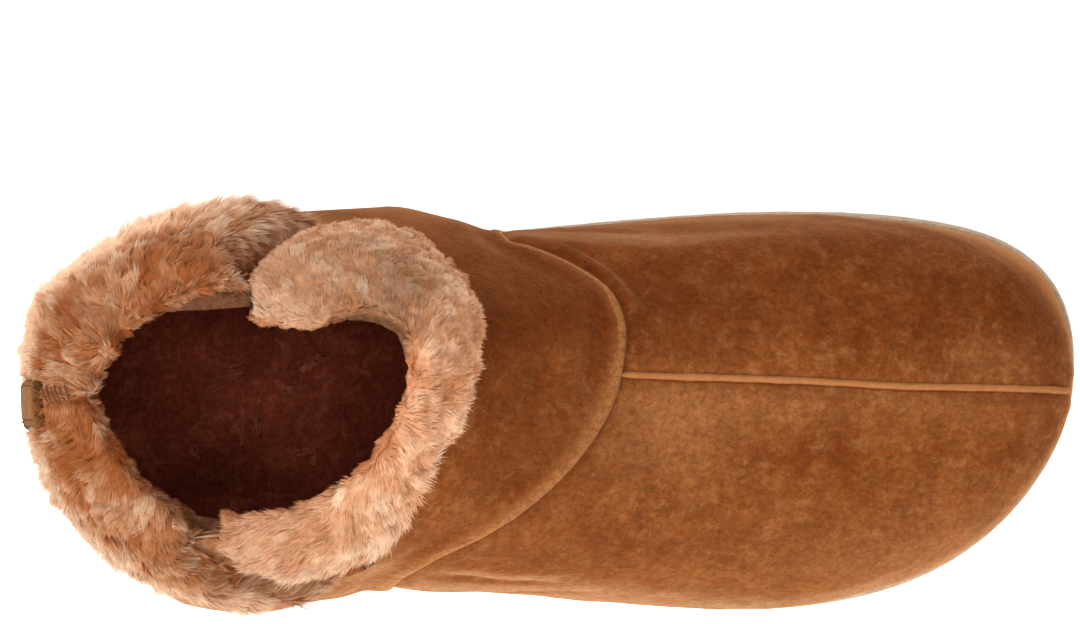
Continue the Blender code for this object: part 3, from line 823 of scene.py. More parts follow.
def make_skin():
    """The suede outside of vamp and shaft, closed round its edges."""
    heights = skin_heights()[:, None]
    turns = np.arange(SKIN_COLUMNS)[None, :] / SKIN_COLUMNS
    plain = shell(heights, turns)
    relief, ahead, centre = skin_relief(plain, turns)
    relief *= ease(heights, SEAT - 1, SEAT + 2) * ease(COLLAR - heights, -1, 6)
    outer = shell(heights, turns, relief)
    inner = skin_inside(np.linspace(COLLAR, SEAT, SKIN_INNER_ROWS)[:, None], turns)
    points = np.concatenate([outer.reshape(-1, 3), inner.reshape(-1, 3)])
    # Painted highlight on the shaft's rolled edge over the seam, and painted light over the lateral side,
    # which faces the light.
    lighter = 0.85 * bump_at(ahead, -1.6, 1.8) * (ahead < 1)
    lighter += 0.25 * ease(-outer[..., 1], 0, 45)
    # Painted shade in the groove ahead of the shaft's seam and along the centre seam, and over the medial
    # side and its shaft below the cuff.
    darker = 0.6 * bump_at(ahead, 0.9, 0.7)
    darker += 0.35 * bump_at(centre, 0, 1.3)
    darker += 0.22 * ease(outer[..., 1], 8, 26) + 0.5 * ease(outer[..., 1], 40, 50)
    darker += 0.5 * ease(outer[..., 1], 26, 40) * (1 - ease(outer[..., 0], 95, 118))
    above_sole = plain[..., 2] - sole_top(plain[..., 0])
    # A painted highlight on the rolled band round the medial toe and on the vamp's lower edge further
    # forward, with painted shade just above the band.
    rolled = toe_roll(turns) * bump_at(above_sole, 8.0, 4.0)
    rim = (1 - toe_roll(turns)) * ease(outer[..., 0], 120, 190) * bump_at(above_sole, 6.0, 5.0)
    lighter += 0.9 * rolled + 0.5 * rim
    darker += 0.55 * toe_roll(turns) * bump_at(above_sole, 16.0, 4.0)
    up = ease(look_up(SURFACE_NORMALS, *np.broadcast_arrays(heights, turns))[..., 2], 0.0, 0.35)
    # The listed tones, painted light and shade mixed with the suede's own tone, on the parts that face up.
    for x, y, reach_x, reach_y, amount in TONES:
        soft = patch_at(outer, x, y, reach_x, reach_y) * up
        lighter += max(amount, 0) * soft
        darker += max(-amount, 0) * soft
    # Pale wear on the raised creases, and the painted highlight of the toe's band and the lower edge.
    wear_and_painted_light = 0.15 * np.clip(relief - hem_push(plain, turns) - 0.5, 0, 1) + 0.45 * rolled + 0.25 * rim
    tints = np.zeros((len(points), 3))
    tints[: ahead.size] = np.clip(np.stack([lighter, darker, wear_and_painted_light], axis=-1), 0, 1).reshape(-1, 3)
    faces = grid_faces(SKIN_ROWS + SKIN_INNER_ROWS, SKIN_COLUMNS, closed_rows=True)
    piece = make_piece("upper_skin", points, [faces], SUEDE, tints)
    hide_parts("upper")


def surface_frames(line):
    """Outward normals and sideways directions along a line on the upper."""
    places = nearest_on_surface(line)
    normals = unit(look_up(SURFACE_NORMALS, places[:, 0], places[:, 1]))
    for _ in range(6):
        normals[1:-1] = unit(normals[:-2] + 2 * normals[1:-1] + normals[2:])
    tangents = unit(np.gradient(line, axis=0))
    return normals, unit(np.cross(tangents, normals))


def sweep(name, line, profile, tint, wobble, seed, fuller):
    """A strip along a line on the upper, through a closed profile of (across, up) points."""
    normals, across = surface_frames(line)
    turns = nearest_on_surface(line)[:, 1]
    profile = np.asarray(profile, float)
    length = np.arange(len(line)) / (len(line) - 1)
    size = np.minimum(1, np.minimum(length, 1 - length) * len(line) / 4 + 0.15)
    wave = 1 + wobble * layered_noise(line, 5.0, seed, 3)
    size = size * fuller
    up = profile[None, :, 1] * (size * wave)[:, None]
    sideways = profile[None, :, 0] * (size * (1 + 0.5 * (wave - 1)))[:, None]
    flat = line[:, None] + across[:, None] * sideways[..., None]
    points = flat + normals[:, None] * (up + soft_relief(flat, turns[:, None]))[..., None]
    flat = points.reshape(-1, 3)
    tints = np.tile(np.asarray(tint, float), (len(flat) // len(tint), 1))
    make_piece(name, flat, tube_faces(len(line), len(profile)), SUEDE, tints)


# Profiles across the seams, as (sideways, up, lighter, darker): the fold's soft back, its edge and the
# groove. Lighter paints a highlight on the fold and the ridge, and darker paints shade in the groove.
SHAFT_LIP = (
    (3.8, 0.45, 0.30, 0.0), (3.0, 0.90, 0.50, 0.0), (2.0, 1.10, 0.75, 0.0), (1.0, 1.15, 0.95, 0.0),
    (0.2, 1.08, 0.85, 0.0), (-0.3, 0.80, 0.35, 0.1), (-0.55, 0.35, 0.0, 0.7), (-0.65, 0.02, 0.0, 0.9),
    (-1.25, -0.05, 0.0, 0.8), (-1.6, -0.35, 0.0, 0.3), (2.0, -0.40, 0.0, 0.0),
)
VAMP_RIDGE = (
    (-1.15, -0.5, 0.4, 0.0), (-1.0, 0.0, 0.6, 0.0), (-0.65, 0.33, 0.9, 0.0), (-0.2, 0.46, 1.0, 0.0),
    (0.25, 0.44, 1.0, 0.0), (0.6, 0.2, 0.7, 0.0), (0.76, -0.12, 0.0, 0.6), (1.2, -0.16, 0.0, 0.8),
    (1.35, -0.5, 0.0, 0.3),
)


def make_seams():
    """The rolled edge of the shaft over the vamp and the raised seam along the vamp."""
    thin_sides = 0.35 + 0.65 * ease(around(SHAFT_SEAM), 46, 66)
    for name, line, profile, wear_and_painted_light, wobble, seed, fuller in (
        ("seam_shaft", SHAFT_SEAM, SHAFT_LIP, 0.0, 0.12, 31, thin_sides),
        ("seam_vamp", CENTRE_SEAM, VAMP_RIDGE, 0.6, 0.45, 41, 1.0),
    ):
        profile = np.array(profile)
        # Blue paints the vamp ridge's highlight paler still.
        tint = np.column_stack([profile[:, 2:], wear_and_painted_light * profile[:, 2]])
        sweep(name, line, profile[:, :2], tint, wobble, seed, fuller)


# ---------------------------------------------------------------- the lining and the insole

LINING_COLUMNS = 240
LINING_ROWS = 56
# The fleece's own dark colour, and two darker tints that paint shade: under the collar's rim and on the
# flaps' inner folds.
DARK_FLEECE = (0.238, 0.047, 0.023)
SHADE_FLEECE = (0.13, 0.050, 0.026)
RIM_FLEECE = (0.12, 0.049, 0.024)
LINING_START = SEAT + 0.3
# How far the lining's outer side stays clear of the skin's inner side.
LINING_CLEAR = 0.15
# Turns and widths of the lining's own places at the collar: a recess where the front flap's crest lies back,
# the corner beside it, the medial split, and the medial stretch where the rim's painted shade is paler.
RECESS = (0.088, 0.035)
CORNER = (0.14, 0.025)
SPLIT = (0.28, 0.06)
PALER_RIM = (0.27, 0.10)
# How far below the collar the rim's painted shade starts, and where it is full.
RIM_STARTS = 26
RIM_FULL = 8


def make_lining():
    """The fleece inside of the wall, from the insole to the collar."""
    turns = np.arange(LINING_COLUMNS)[None, :] / LINING_COLUMNS
    heights = np.linspace(COLLAR, LINING_START, LINING_ROWS)[:, None]
    plain = shell(heights, turns, -WALL)
    lumps = 0.9 * layered_noise(plain, 5.0, 51, 3)
    recess = 3.6 * bump_at(turns, *RECESS) * ease(heights, 92, 108)
    corner = bump_at(turns, *CORNER)
    tucked = (2.4 - 1.9 * bump_at(turns, *SPLIT) - 1.7 * corner) * ease(heights, COLLAR - 8, COLLAR - 2)
    lumps = recess + tucked + lumps * ease(heights, SEAT, SEAT + 8) * ease(COLLAR - heights, -2, 4)
    inner = shell(heights, turns, -WALL + 0.6 + lumps)
    outer = skin_inside(np.linspace(LINING_START, COLLAR, SKIN_INNER_ROWS)[:, None], turns, LINING_CLEAR)
    points = np.concatenate([inner.reshape(-1, 3), outer.reshape(-1, 3)])
    faces = grid_faces(LINING_ROWS + SKIN_INNER_ROWS, LINING_COLUMNS, closed_rows=True)
    # Below the collar the lining is painted darker as shade, a little less along the medial stretch and
    # beside the corner.
    near_rim = ease(points[:, 2], COLLAR - RIM_STARTS, COLLAR - RIM_FULL)[:, None]
    medial = np.tile(bump_at(turns[0], *PALER_RIM) + 0.8 * corner[0], LINING_ROWS + SKIN_INNER_ROWS)
    rim = mix_tints(np.array(SHADE_FLEECE) * 0.6, RIM_FLEECE, medial)
    tints = np.array(DARK_FLEECE) * (1 - near_rim) + rim * near_rim
    make_piece("lining", points, [faces], FLEECE, tints)


INSOLE_RINGS = 26
INSOLE_COLUMNS = 260
INSOLE_RISE = 7.2

# Paler and darker places of the insole: x, y, half length, half width, and how much.
# The paler ones are the wool's own paler patches; the darker ones, towards the walls, are painted shade.
INSOLE_TONES = (
    (12, 8, 3, 9, 0.45),
    (22, 2, 4, 9, 0.40),
    (4, 15, 7, 3, 0.35),
    (38, 12, 9, 5, 0.25),
    (8, -15, 12, 9, -0.40),
    (34, -18, 14, 6, -0.25),
    (20, 26, 22, 5, -0.35),
)


def make_insole():
    """The fleece insole, a thick pad that rises to meet the wall."""
    turns = np.arange(INSOLE_COLUMNS) / INSOLE_COLUMNS
    edge = shell(SEAT + 3.0, turns, -WALL - 0.1)
    spine_x = np.clip(edge[:, 0], edge[:, 0].min() + 30, edge[:, 0].max() - 36)
    spine_y = np.interp(spine_x, (edge[:, 0].min(), edge[:, 0].max()), (0.0, 12.0))
    share = np.linspace(0.02, 1, INSOLE_RINGS)[:, None]
    top = np.empty((INSOLE_RINGS, INSOLE_COLUMNS, 3))
    top[..., 0] = spine_x + (edge[:, 0] - spine_x) * share
    top[..., 1] = spine_y + (edge[:, 1] - spine_y) * share
    top[..., 2] = sole_top(top[..., 0]) + INSOLE_RISE - 1.0 * share**4
    top[..., 2] += 0.9 * layered_noise(top, 6.0, 61, 3)
    bottom = top[::-1].copy()
    bottom[..., 2] = sole_top(bottom[..., 0]) + 0.5
    points = np.concatenate([top.reshape(-1, 3), bottom.reshape(-1, 3)])
    faces = tube_faces(2 * INSOLE_RINGS, INSOLE_COLUMNS)
    # The wool's uneven tone and paler patches, and the painted shade towards the walls.
    wear_and_painted_light = 1.0 + 0.45 * layered_noise(points, 12.0, 71, 2)
    for x, y, reach_x, reach_y, amount in INSOLE_TONES:
        wear_and_painted_light += amount * patch_at(points, x, y, reach_x, reach_y)
    tints = np.array(DARK_FLEECE) * wear_and_painted_light[:, None]
    piece = make_piece("insole_fleece", points, faces, FLEECE, tints)
    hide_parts("insole")


# ---------------------------------------------------------------- the cuff's fleece and fur

TAB_TURN = 0.509
TAB_WIDTH = 12.0
TAB_THICKNESS = 1.1
BASE_PLACES = 190
BASE_STEPS = 84
FLAP_END_ROUND = 5.0
INNER_DIP = 4.0
# Places along the back flap between which the fur's roots run out towards its lateral end.
ROOTS_END = (0.945, 0.97)

# How the fur is combed along each flap: towards its far end (along) and out and down (down), how long the
# strands are, how steeply they stand, and how far the fleece under them lies inside the CAD flap.
Comb = namedtuple("Comb", "place along down length lift inset")
COMBS = {
    "cuff_front": (
        Comb(0.00, -0.90, 0.25, 4.6, 0.20, 2.2),
        Comb(0.12, -0.90, 0.35, 5.6, 0.16, 2.8),
        Comb(0.25, -0.75, 0.55, 5.8, 0.16, 3.0),
        Comb(0.36, -0.40, 0.80, 4.6, 0.22, 2.4),
        Comb(0.50, 0.10, 1.00, 3.2, 0.34, 2.2),
        Comb(0.65, 0.30, 0.90, 2.6, 0.40, 1.8),
        Comb(0.76, 0.30, 0.60, 2.2, 0.45, 1.2),
        Comb(1.00, 0.50, 0.50, 2.2, 0.45, 1.8),
    ),
    "cuff_back": (
        Comb(0.00, -0.90, 0.40, 3.6, 0.30, 3.4),
        Comb(0.12, -0.60, 0.70, 4.2, 0.36, 2.8),
        Comb(0.28, -0.45, 0.90, 4.4, 0.38, 3.0),
        Comb(0.36, -0.30, 0.95, 4.4, 0.38, 2.0),
        Comb(0.41, -0.20, 1.00, 4.8, 0.38, -0.2),
        Comb(0.45, 0.00, 1.00, 4.0, 0.34, 0.8),
        Comb(0.58, 0.10, 1.00, 4.0, 0.34, 1.8),
        Comb(0.70, 0.25, 1.00, 4.6, 0.30, 2.4),
        Comb(0.84, 0.40, 0.80, 4.4, 0.30, 2.0),
        Comb(0.89, 0.60, 0.65, 4.4, 0.26, 0.2),
        Comb(0.93, 0.70, 0.55, 3.8, 0.22, 0.6),
        Comb(0.96, 0.80, 0.50, 3.0, 0.20, 3.4),
        Comb(1.00, 0.80, 0.50, 3.0, 0.20, 5.0),
    ),
}
# The fur's colours. Tones give how bright it is along each flap on its outside, over its crest and at its
# inner edge, and how strongly ZONE_PALER acts there. They are partly the fur's own colour and partly painted
# light and shade: the inner edge, where the fur dips into the opening, and the front flap's recess near place
# 0.7 are painted shade, made warmer by INNER_WARMTH, and the bright outside of the back flap's medial stretch
# is painted light.
DEEP_TINT = {"cuff_front": (0.43, 0.185, 0.080), "cuff_back": (0.30, 0.086, 0.024)}
BODY_TINT = {"cuff_front": (0.53, 0.283, 0.158), "cuff_back": (0.43, 0.198, 0.091)}
PALE_TINT = {"cuff_front": (0.67, 0.478, 0.325), "cuff_back": (0.62, 0.435, 0.300)}
LOCK_CONTRAST = {"cuff_front": 0.44, "cuff_back": 0.52}
LOCK_HOLD = {"cuff_front": 0.34, "cuff_back": 0.55}
LOCK_SWIRL = {"cuff_front": 0.30, "cuff_back": 0.70}
INNER_WARMTH = (1.06, 0.90, 0.76)
ZONE_PALER = {"cuff_front": (0.25, 0.05, 0.0), "cuff_back": (0.45, -0.10, 0.05)}
Tone = namedtuple("Tone", "place outer crest inner paler")
FUR_TONES = {
    "cuff_front": (
        Tone(0.00, 0.87, 0.89, 0.78, 1.5),
        Tone(0.15, 0.90, 0.93, 0.86, 1.6),
        Tone(0.36, 1.12, 1.12, 1.05, 1.0),
        Tone(0.55, 1.22, 1.18, 1.08, 0.6),
        Tone(0.63, 1.12, 1.00, 0.50, 0.4),
        Tone(0.69, 1.04, 0.70, 0.30, 0.1),
        Tone(0.77, 0.92, 0.80, 0.36, 0.1),
        Tone(0.83, 0.94, 0.82, 0.70, 0.2),
        Tone(1.00, 0.96, 0.86, 0.86, 0.3),
    ),
    "cuff_back": (
        Tone(0.00, 0.92, 0.80, 0.50, 0.0),
        Tone(0.10, 1.12, 0.95, 0.60, 0.6),
        Tone(0.20, 1.30, 1.00, 0.75, 1.3),
        Tone(0.35, 1.34, 0.94, 0.90, 1.2),
        Tone(0.55, 1.08, 0.87, 0.85, 1.0),
        Tone(0.72, 0.97, 0.84, 0.72, 0.9),
        Tone(0.86, 1.02, 0.86, 0.62, 0.5),
        Tone(0.93, 1.02, 0.76, 0.55, 0.4),
        Tone(0.96, 0.80, 0.68, 0.50, -0.2),
        Tone(1.00, 0.68, 0.62, 0.50, -0.5),
    ),
}


# How far the crest's fur reaches into the opening beyond the wall, along each flap.
OVERHANGS = {
    "cuff_front": (
        (0.0, 0.5), (0.2, 0.0), (0.45, 0.5), (0.57, 0.5), (0.63, -2.6), (0.68, -5.2), (0.735, -4.6),
        (0.785, -1.4), (0.86, 2.8), (0.95, 3.8), (1.0, 2.5),
    ),
    "cuff_back": (
        (0.0, -6.0), (0.08, -4.5), (0.20, -1.5), (0.35, 0.0), (0.7, 0.0), (0.84, -2.0), (1.0, -5.0),
    ),
}


def flap_size(flap, place):
    """The drop and the thickness of a flap at a place from 0 to 1 along it."""
    places, drops, thicknesses = zip(*flap.stations)
    return smooth_curve(places, drops, place), smooth_curve(places, thicknesses, place)


def overhang_at(flap, places):
    """How far the crest's fur reaches into the opening at places along a flap."""
    return smooth_curve(*zip(*OVERHANGS[flap.name]), places)


def flap_turn(flap, place, up):
    """The turn of a place along a flap at a share of the way up from its low edge to the collar."""
    start = flap.start_low + (flap.start - flap.start_low) * up
    end = flap.end_low + (flap.end - flap.end_low) * up
    return start + (end - start) * place


def flap_corners(flap, places):
    """Corners of each section of a flap, as x, y, z, turn and row.

    Row 0 is the wall under its low edge. Rows 1 to 6 go up its outside, 7 to 10 over the crest, and 11 and 12
    down inside the collar. Other functions name places on a flap by these rows.
    """
    drop, thickness = flap_size(flap, places)
    middle = shell(COLLAR - drop / 2, flap_turn(flap, places, 0.5), thickness)
    length = run_length(middle)
    from_end = np.clip(np.minimum(length, length[-1] - length) / FLAP_END_ROUND, 0, 1)
    rounding = 0.15 + 0.85 * np.sqrt(1 - (1 - from_end) ** 2)
    corners = [shell(COLLAR - drop, flap_turn(flap, places, 0.0), CUFF_GAP)]
    turns = [flap_turn(flap, places, 0.0)]
    for row, swell in enumerate(CUFF_SWELL):
        up = row / CUFF_ROWS
        turn = flap_turn(flap, places, up)
        corners.append(shell(COLLAR - drop * (1 - up), turn, CUFF_GAP + thickness * swell * rounding))
        turns.append(turn)
    rim_outer = shell(COLLAR, turn, 0.0)
    rim_inner = shell(COLLAR, turn, -WALL)
    overhang = overhang_at(flap, places)
    for across, rise in reversed(CUFF_OVER):
        shift = overhang / WALL * ease(1.0 - across, 0.0, 1.0)
        point = rim_inner + (rim_outer - rim_inner) * (across - shift)[:, None]
        point[:, 2] = COLLAR + CUFF_GAP + CUFF_CREST * rise * (0.35 + 0.65 * rounding)
        corners.append(point)
        turns.append(turn)
    for dip in (0.0, INNER_DIP):
        point = shell(COLLAR - dip, turn, -WALL + 0.2 - overhang * (0.7 - 0.1 * dip))
        corners.append(point)
        turns.append(turn)
    rows = np.arange(len(corners)) * np.ones((len(places), 1))
    return np.dstack([np.stack(corners, axis=1), np.stack(turns, axis=1), rows])


def rounded(corners, steps):
    """Each line of corners as a smooth curve with evenly spaced points."""
    ahead = 2 * corners[:, :1] - corners[:, 1:2]
    beyond = 2 * corners[:, -1:] - corners[:, -2:-1]
    padded = np.concatenate([ahead, corners, beyond], axis=1)
    t = np.linspace(0, 1, 8, endpoint=False)[None, None, :, None]
    before, first, second, after = (padded[:, i : i + corners.shape[1] - 1, None] for i in range(4))
    fine = 0.5 * (
        2 * first
        + (second - before) * t
        + (2 * before - 5 * first + 4 * second - after) * t**2
        + (3 * first - before - 3 * second + after) * t**3
    )
    fine = np.concatenate([fine.reshape(len(corners), -1, corners.shape[2]), corners[:, -1:]], axis=1)
    lines = []
    for line in fine:
        length = run_length(line[:, :3])
        wanted = np.linspace(0, length[-1], steps)
        lines.append(np.column_stack([np.interp(wanted, length, line[:, k]) for k in range(line.shape[1])]))
    return np.array(lines)


def table_at(table, place):
    """The values of a table of named rows at places along a flap."""
    places = [row.place for row in table]
    return type(table[0])(*(smooth_curve(places, column, place) for column in zip(*table)))


FlapField = namedtuple("FlapField", "flap places grid normals along down lumps")


def grid_normals(grid):
    """Outward normals of a flap's grid, with its two directions."""
    along = np.gradient(grid, axis=0)
    up = np.gradient(grid, axis=1)
    return unit(np.cross(along, up)), unit(along), unit(-up)


def make_field(flap):
    """The lumpy surface of a flap that the fur grows from, with its directions."""
    places = np.linspace(0, 1, BASE_PLACES)
    full = rounded(flap_corners(flap, places), BASE_STEPS)
    grid = full[..., :3]
    normals, _, _ = grid_normals(grid)
    first, _ = lock_cells(grid, 4.2, 81)
    lumps = 1.7 * (0.55 - first) + 1.1 * layered_noise(grid, 9.0, 91, 2)
    parting = tab_distance(full)
    if flap.name == "cuff_back":
        lumps = lumps - 2.2 * bump_at(parting, 0, 1.8) * ease(full[..., 4], 6.0, 8.0)
        lumps = lumps * (1 - near_tab(full))
    edge = ease(full[..., 4], 0.0, 1.0)
    rim = ease(12.0 - full[..., 4], 0.0, 1.5)
    kept = 1 - 0.6 * ease(full[..., 4], 9.5, 11.5)
    inset = table_at(COMBS[flap.name], places).inset[:, None]
    moved = grid + normals * ((lumps * rim - inset * kept) * edge)[..., None]
    normals, along, down = grid_normals(moved)
    return FlapField(flap, places, np.dstack([moved, full[..., 3:]]), normals, along, down, lumps)


def tab_distance(full):
    """Distance of a flap's grid points from the middle of the heel tab, along the flap."""
    reach = np.linalg.norm(np.gradient(full[..., :3], axis=0), axis=-1)
    turn_step = np.maximum(np.abs(np.gradient(full[..., 3], axis=0)), 1e-6)
    return np.abs(full[..., 3] - TAB_TURN) / turn_step * reach


def near_tab(full):
    """1 under the heel tab, 0 away from it."""
    outside = ease(tab_distance(full), TAB_WIDTH / 2 - 1, TAB_WIDTH / 2 + 1)
    return (1 - outside) * (1 - ease(full[..., 4], 6.2, 6.7))


def make_base(field):
    """The fleece of one flap, closed against the wall."""
    flap = field.flap
    grid = field.grid[..., :3]
    drop, _ = flap_size(flap, field.places)
    back = []
    tuck = np.minimum(overhang_at(flap, field.places), 0)
    for height in (COLLAR - INNER_DIP, COLLAR - 0.2):
        back.append(shell(height, flap_turn(flap, field.places, 1.0), -WALL + 2.0 - tuck * 0.7))
    for up in (1.0, 0.6, 0.3):
        back.append(shell(COLLAR - drop * (1 - up), flap_turn(flap, field.places, up), 0.15))
    loops = np.concatenate([grid, np.stack(back, axis=1)], axis=1)
    count = loops.shape[1]
    places = np.repeat(field.places[:, None], grid.shape[1], axis=1)
    # The loops against the wall are painted in the fleece's shade colour.
    tints = np.tile(SHADE_FLEECE, (len(loops), count, 1)).astype(float)
    # Darker in the hollows between the lumps, as painted shade, and paler on their tops.
    share = 0.75 * ease(field.lumps, -1.4, 1.2) - 0.05
    tints[:, : grid.shape[1]] = fur_tint(flap.name, places, field.grid[..., 4], grid, share)
    # The inner rows, which dip into the opening, are painted in the fleece's shade colour.
    inside = ease(field.grid[..., 4], 10.8, 11.7)[..., None]
    tints[:, : grid.shape[1]] *= 1 - inside
    tints[:, : grid.shape[1]] += np.array(SHADE_FLEECE) * inside
    piece = make_piece(
        flap.name + "_fleece", loops.reshape(-1, 3), tube_faces(len(loops), count), FUR,
        tints.reshape(-1, 3),
    )
    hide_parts(flap.name)


def sample_roots(field, count, rng):
    """Random root places on a flap's grid, even by area, as positions on its rows and columns."""
    grid = field.grid[..., :3]
    sides = grid[1:, :-1] - grid[:-1, :-1]
    ups = grid[:-1, 1:] - grid[:-1, :-1]
    area = np.linalg.norm(np.cross(sides, ups), axis=-1)
    row = field.grid[:-1, :-1, 4]
    area = area * ease(row, 0.3, 1.2) * (1 - ease(row, 11.2, 11.8))
    if field.flap.name == "cuff_back":
        area = area * (1 - near_tab(field.grid)[:-1, :-1])
        area = area * (1 - ease(field.places, *ROOTS_END))[:-1, None]
    chosen = rng.choice(area.size, size=count, p=(area / area.sum()).ravel())
    i, j = np.unravel_index(chosen, area.shape)
    return i + rng.random(count), j + rng.random(count)


def read_grid(values, i, j):
    """Values of a grid at fractional rows and columns."""
    i0 = np.clip(i.astype(int), 0, values.shape[0] - 2)
    j0 = np.clip(j.astype(int), 0, values.shape[1] - 2)
    f = (i - i0)[:, None]
    g = (j - j0)[:, None]
    low = values[i0, j0] * (1 - g) + values[i0, j0 + 1] * g
    high = values[i0 + 1, j0] * (1 - g) + values[i0 + 1, j0 + 1] * g
    return low * (1 - f) + high * f


FRINGE_SHARE = {"cuff_front": 0.0, "cuff_back": 0.4}
STRAND_HALF = 0.11
STRAND_STEPS = np.array([0.0, 0.5, 1.0])
STRAND_WIDTHS = np.array([1.0, 0.75])


def make_pile(field, name, count, seed, lock_size):
    """Fur strands of one flap, combed by its table and gathered in locks."""
    rng = np.random.default_rng(seed)
    flap = field.flap
    i, j = sample_roots(field, count, rng)
    here = read_grid(field.grid, i, j)
    roots = here[:, :3]
    row = here[:, 4]
    normal = unit(read_grid(field.normals, i, j))
    along = unit(read_grid(field.along, i, j))
    down = unit(read_grid(field.down, i, j))
    place = i / (BASE_PLACES - 1)
    comb = table_at(COMBS[flap.name], place)
    first, middle = lock_cells(roots, lock_size, 101)
    swirl = 0.7 * soft_noise(roots, 7.0, 111) + LOCK_SWIRL[flap.name] * soft_noise(middle, 1.7, 121)
    swirl += 0.10 * rng.normal(size=count)
    inward = ease(row, 8.6, 10.2)
    down_share = comb.down * (1 - 1.7 * inward)
    heading = along * comb.along[:, None] + down * down_share[:, None]
    if flap.name == "cuff_back":
        side = np.sign(here[:, 3] - TAB_TURN)
        apart = bump_at(here[:, 3], TAB_TURN, 0.03) * ease(row, 6.0, 7.5)
        heading = heading + along * (side * apart * 1.6)[:, None]
    heading = unit(heading)
    across = np.cross(normal, heading)
    heading = heading * np.cos(swirl)[:, None] + across * np.sin(swirl)[:, None]
    lift = comb.lift * (1 + 0.3 * soft_noise(middle, 2.3, 131)) + 0.08 * rng.normal(size=count)
    lift = np.clip(lift * (1 - 0.45 * inward), 0.12, 1.2)[:, None]
    length = comb.length * (0.8 + 0.25 * soft_noise(middle, 1.9, 141) + 0.16 * rng.normal(size=count))
    fringe = (1 - ease(row, 3.0, 5.5)) * (rng.random(count) < FRINGE_SHARE[flap.name])
    length = np.clip(length * (1 - 0.45 * inward) * (1 + 0.7 * fringe), 1.5, 9.0)[:, None]
    rise = unit(normal * (0.25 + lift) + heading * 0.6)
    lean = unit(heading * 1.0 + normal * (lift - 0.25))
    bend = roots + rise * length * 0.45
    tip = roots + rise * length * 0.42 + lean * length * 0.55
    lock_bend = middle + rise * length * 0.45
    lock_tip = middle + rise * length * 0.42 + lean * length * 0.55
    hold = (LOCK_HOLD[flap.name] * ease(1.2 - first, 0.1, 0.8))[:, None]
    bend = bend + (lock_bend - bend) * hold * 0.45
    tip = tip + (lock_tip - tip) * hold
    wave = np.sin(soft_noise(middle, 2.1, 151) * 6.0)[:, None]
    bend = bend + across * wave * length * 0.16
    t = STRAND_STEPS[None, :, None]
    spine = roots[:, None] * (1 - t) ** 2 + bend[:, None] * 2 * t * (1 - t) + tip[:, None] * t**2
    tangent = unit(np.gradient(spine, axis=1))
    sideways = unit(np.cross(tangent, normal[:, None] + 0.35 * rng.normal(size=(count, 1, 3))))
    half = STRAND_HALF * ((0.75 + 0.5 * rng.random(count)) * (1 - 0.45 * fringe))[:, None, None]
    half = half * STRAND_WIDTHS[None, :, None]
    left = spine[:, :2] - sideways[:, :2] * half
    right = spine[:, :2] + sideways[:, :2] * half
    points = np.concatenate([left, right, spine[:, 2:]], axis=1).reshape(-1, 3)
    base = np.arange(count)[:, None] * 5
    quads = base + [0, 2, 3, 1]
    triangles = base + [1, 3, 4]
    # Deep at the root and paler towards the tip: partly the fur's own darker roots, partly painted shade down
    # in the pile.
    share = 0.12 + 0.5 * STRAND_STEPS[None] + 0.05 * rng.normal(size=(count, 1)) + 0.25 * fringe[:, None]
    tints = fur_tint(flap.name, place[:, None], row[:, None], middle[:, None], share)
    order = [0, 1, 0, 1, 2]
    soft_normal = unit(normal * 0.85 + heading * 0.25 + sideways[:, 0] * rng.normal(size=(count, 1)) * 0.08)
    return make_piece(
        name, points, [quads, triangles], FUR, tints[:, order].reshape(-1, 3),
        normals=np.repeat(soft_normal, 5, axis=0),
    )


def fur_tint(kind, place, row, spot, share):
    """The fur's colour from deep (share 0) to pale (share 1), shifted lock by lock and zone by zone."""
    outer = 1 - ease(row, 3.0, 6.5)
    inner = ease(row, 8.8, 10.4)
    zones = (outer, 1 - outer - inner, inner)
    lock = LOCK_CONTRAST[kind] * (soft_noise(spot, 3.0, 161) + 0.5 * soft_noise(spot, 9.0, 171))
    tones = table_at(FUR_TONES[kind], place)
    paler = sum(zone * amount for zone, amount in zip(zones, ZONE_PALER[kind])) * tones.paler
    share = np.clip(share + lock + paler, 0, 1)
    # Deep is partly the fur's own darker roots and partly painted shade down in the pile and between the
    # locks.
    tint = np.where(
        (share < 0.5)[..., None],
        mix_tints(DEEP_TINT[kind], BODY_TINT[kind], np.clip(share * 2, 0, 1)),
        mix_tints(BODY_TINT[kind], PALE_TINT[kind], np.clip(share * 2 - 1, 0, 1)),
    )
    # Brightness by zone from the tones, partly the fur's own colour and partly painted light and shade.
    bright = sum(zone * tone for zone, tone in zip(zones, (tones.outer, tones.crest, tones.inner)))
    # The inner zone's painted shade is made warmer.
    warm = mix_tints((1.0, 1.0, 1.0), INNER_WARMTH, inner * np.ones_like(share))
    return np.clip(tint * warm * (bright * np.ones_like(share))[..., None], 0, 0.95)


# Each flap's fur is two pieces: the strands in each, the first one's seed, and the size of its locks.
PILES = {"cuff_back": (60000, 201, 3.4), "cuff_front": (44000, 203, 2.8)}


def make_cuffs():
    """Both flaps: their fleece and the fur on them."""
    fields = [make_field(flap) for flap in (CUFF_BACK, CUFF_FRONT)]
    for field in fields:
        make_base(field)
    for field in fields:
        name = field.flap.name
        count, seed, lock_size = PILES[name]
        for n, letter in enumerate("ab"):
            make_pile(field, f"{name}_pile_{letter}", count, seed + n, lock_size)


# ---------------------------------------------------------------- the heel tab

TAB_SINK = 0.5
TAB_ROWS = 44
TAB_COLUMNS = 15
TAB_TOP_ROW = 5.95
TAB_LOW_ROW = 1.1
SEAM_STITCHES = 6
STITCH_OFFSET = -1.6
STITCH_RISE = 0.75
STITCH_START_X = -25.8
STITCH_END_X = -20.2
# The back flap under the tab as a fine grid: its part of the flap, its places and its steps up and over.
NEAR_TAB = (0.4, 0.8)
NEAR_TAB_PLACES = 120
NEAR_TAB_STEPS = 160


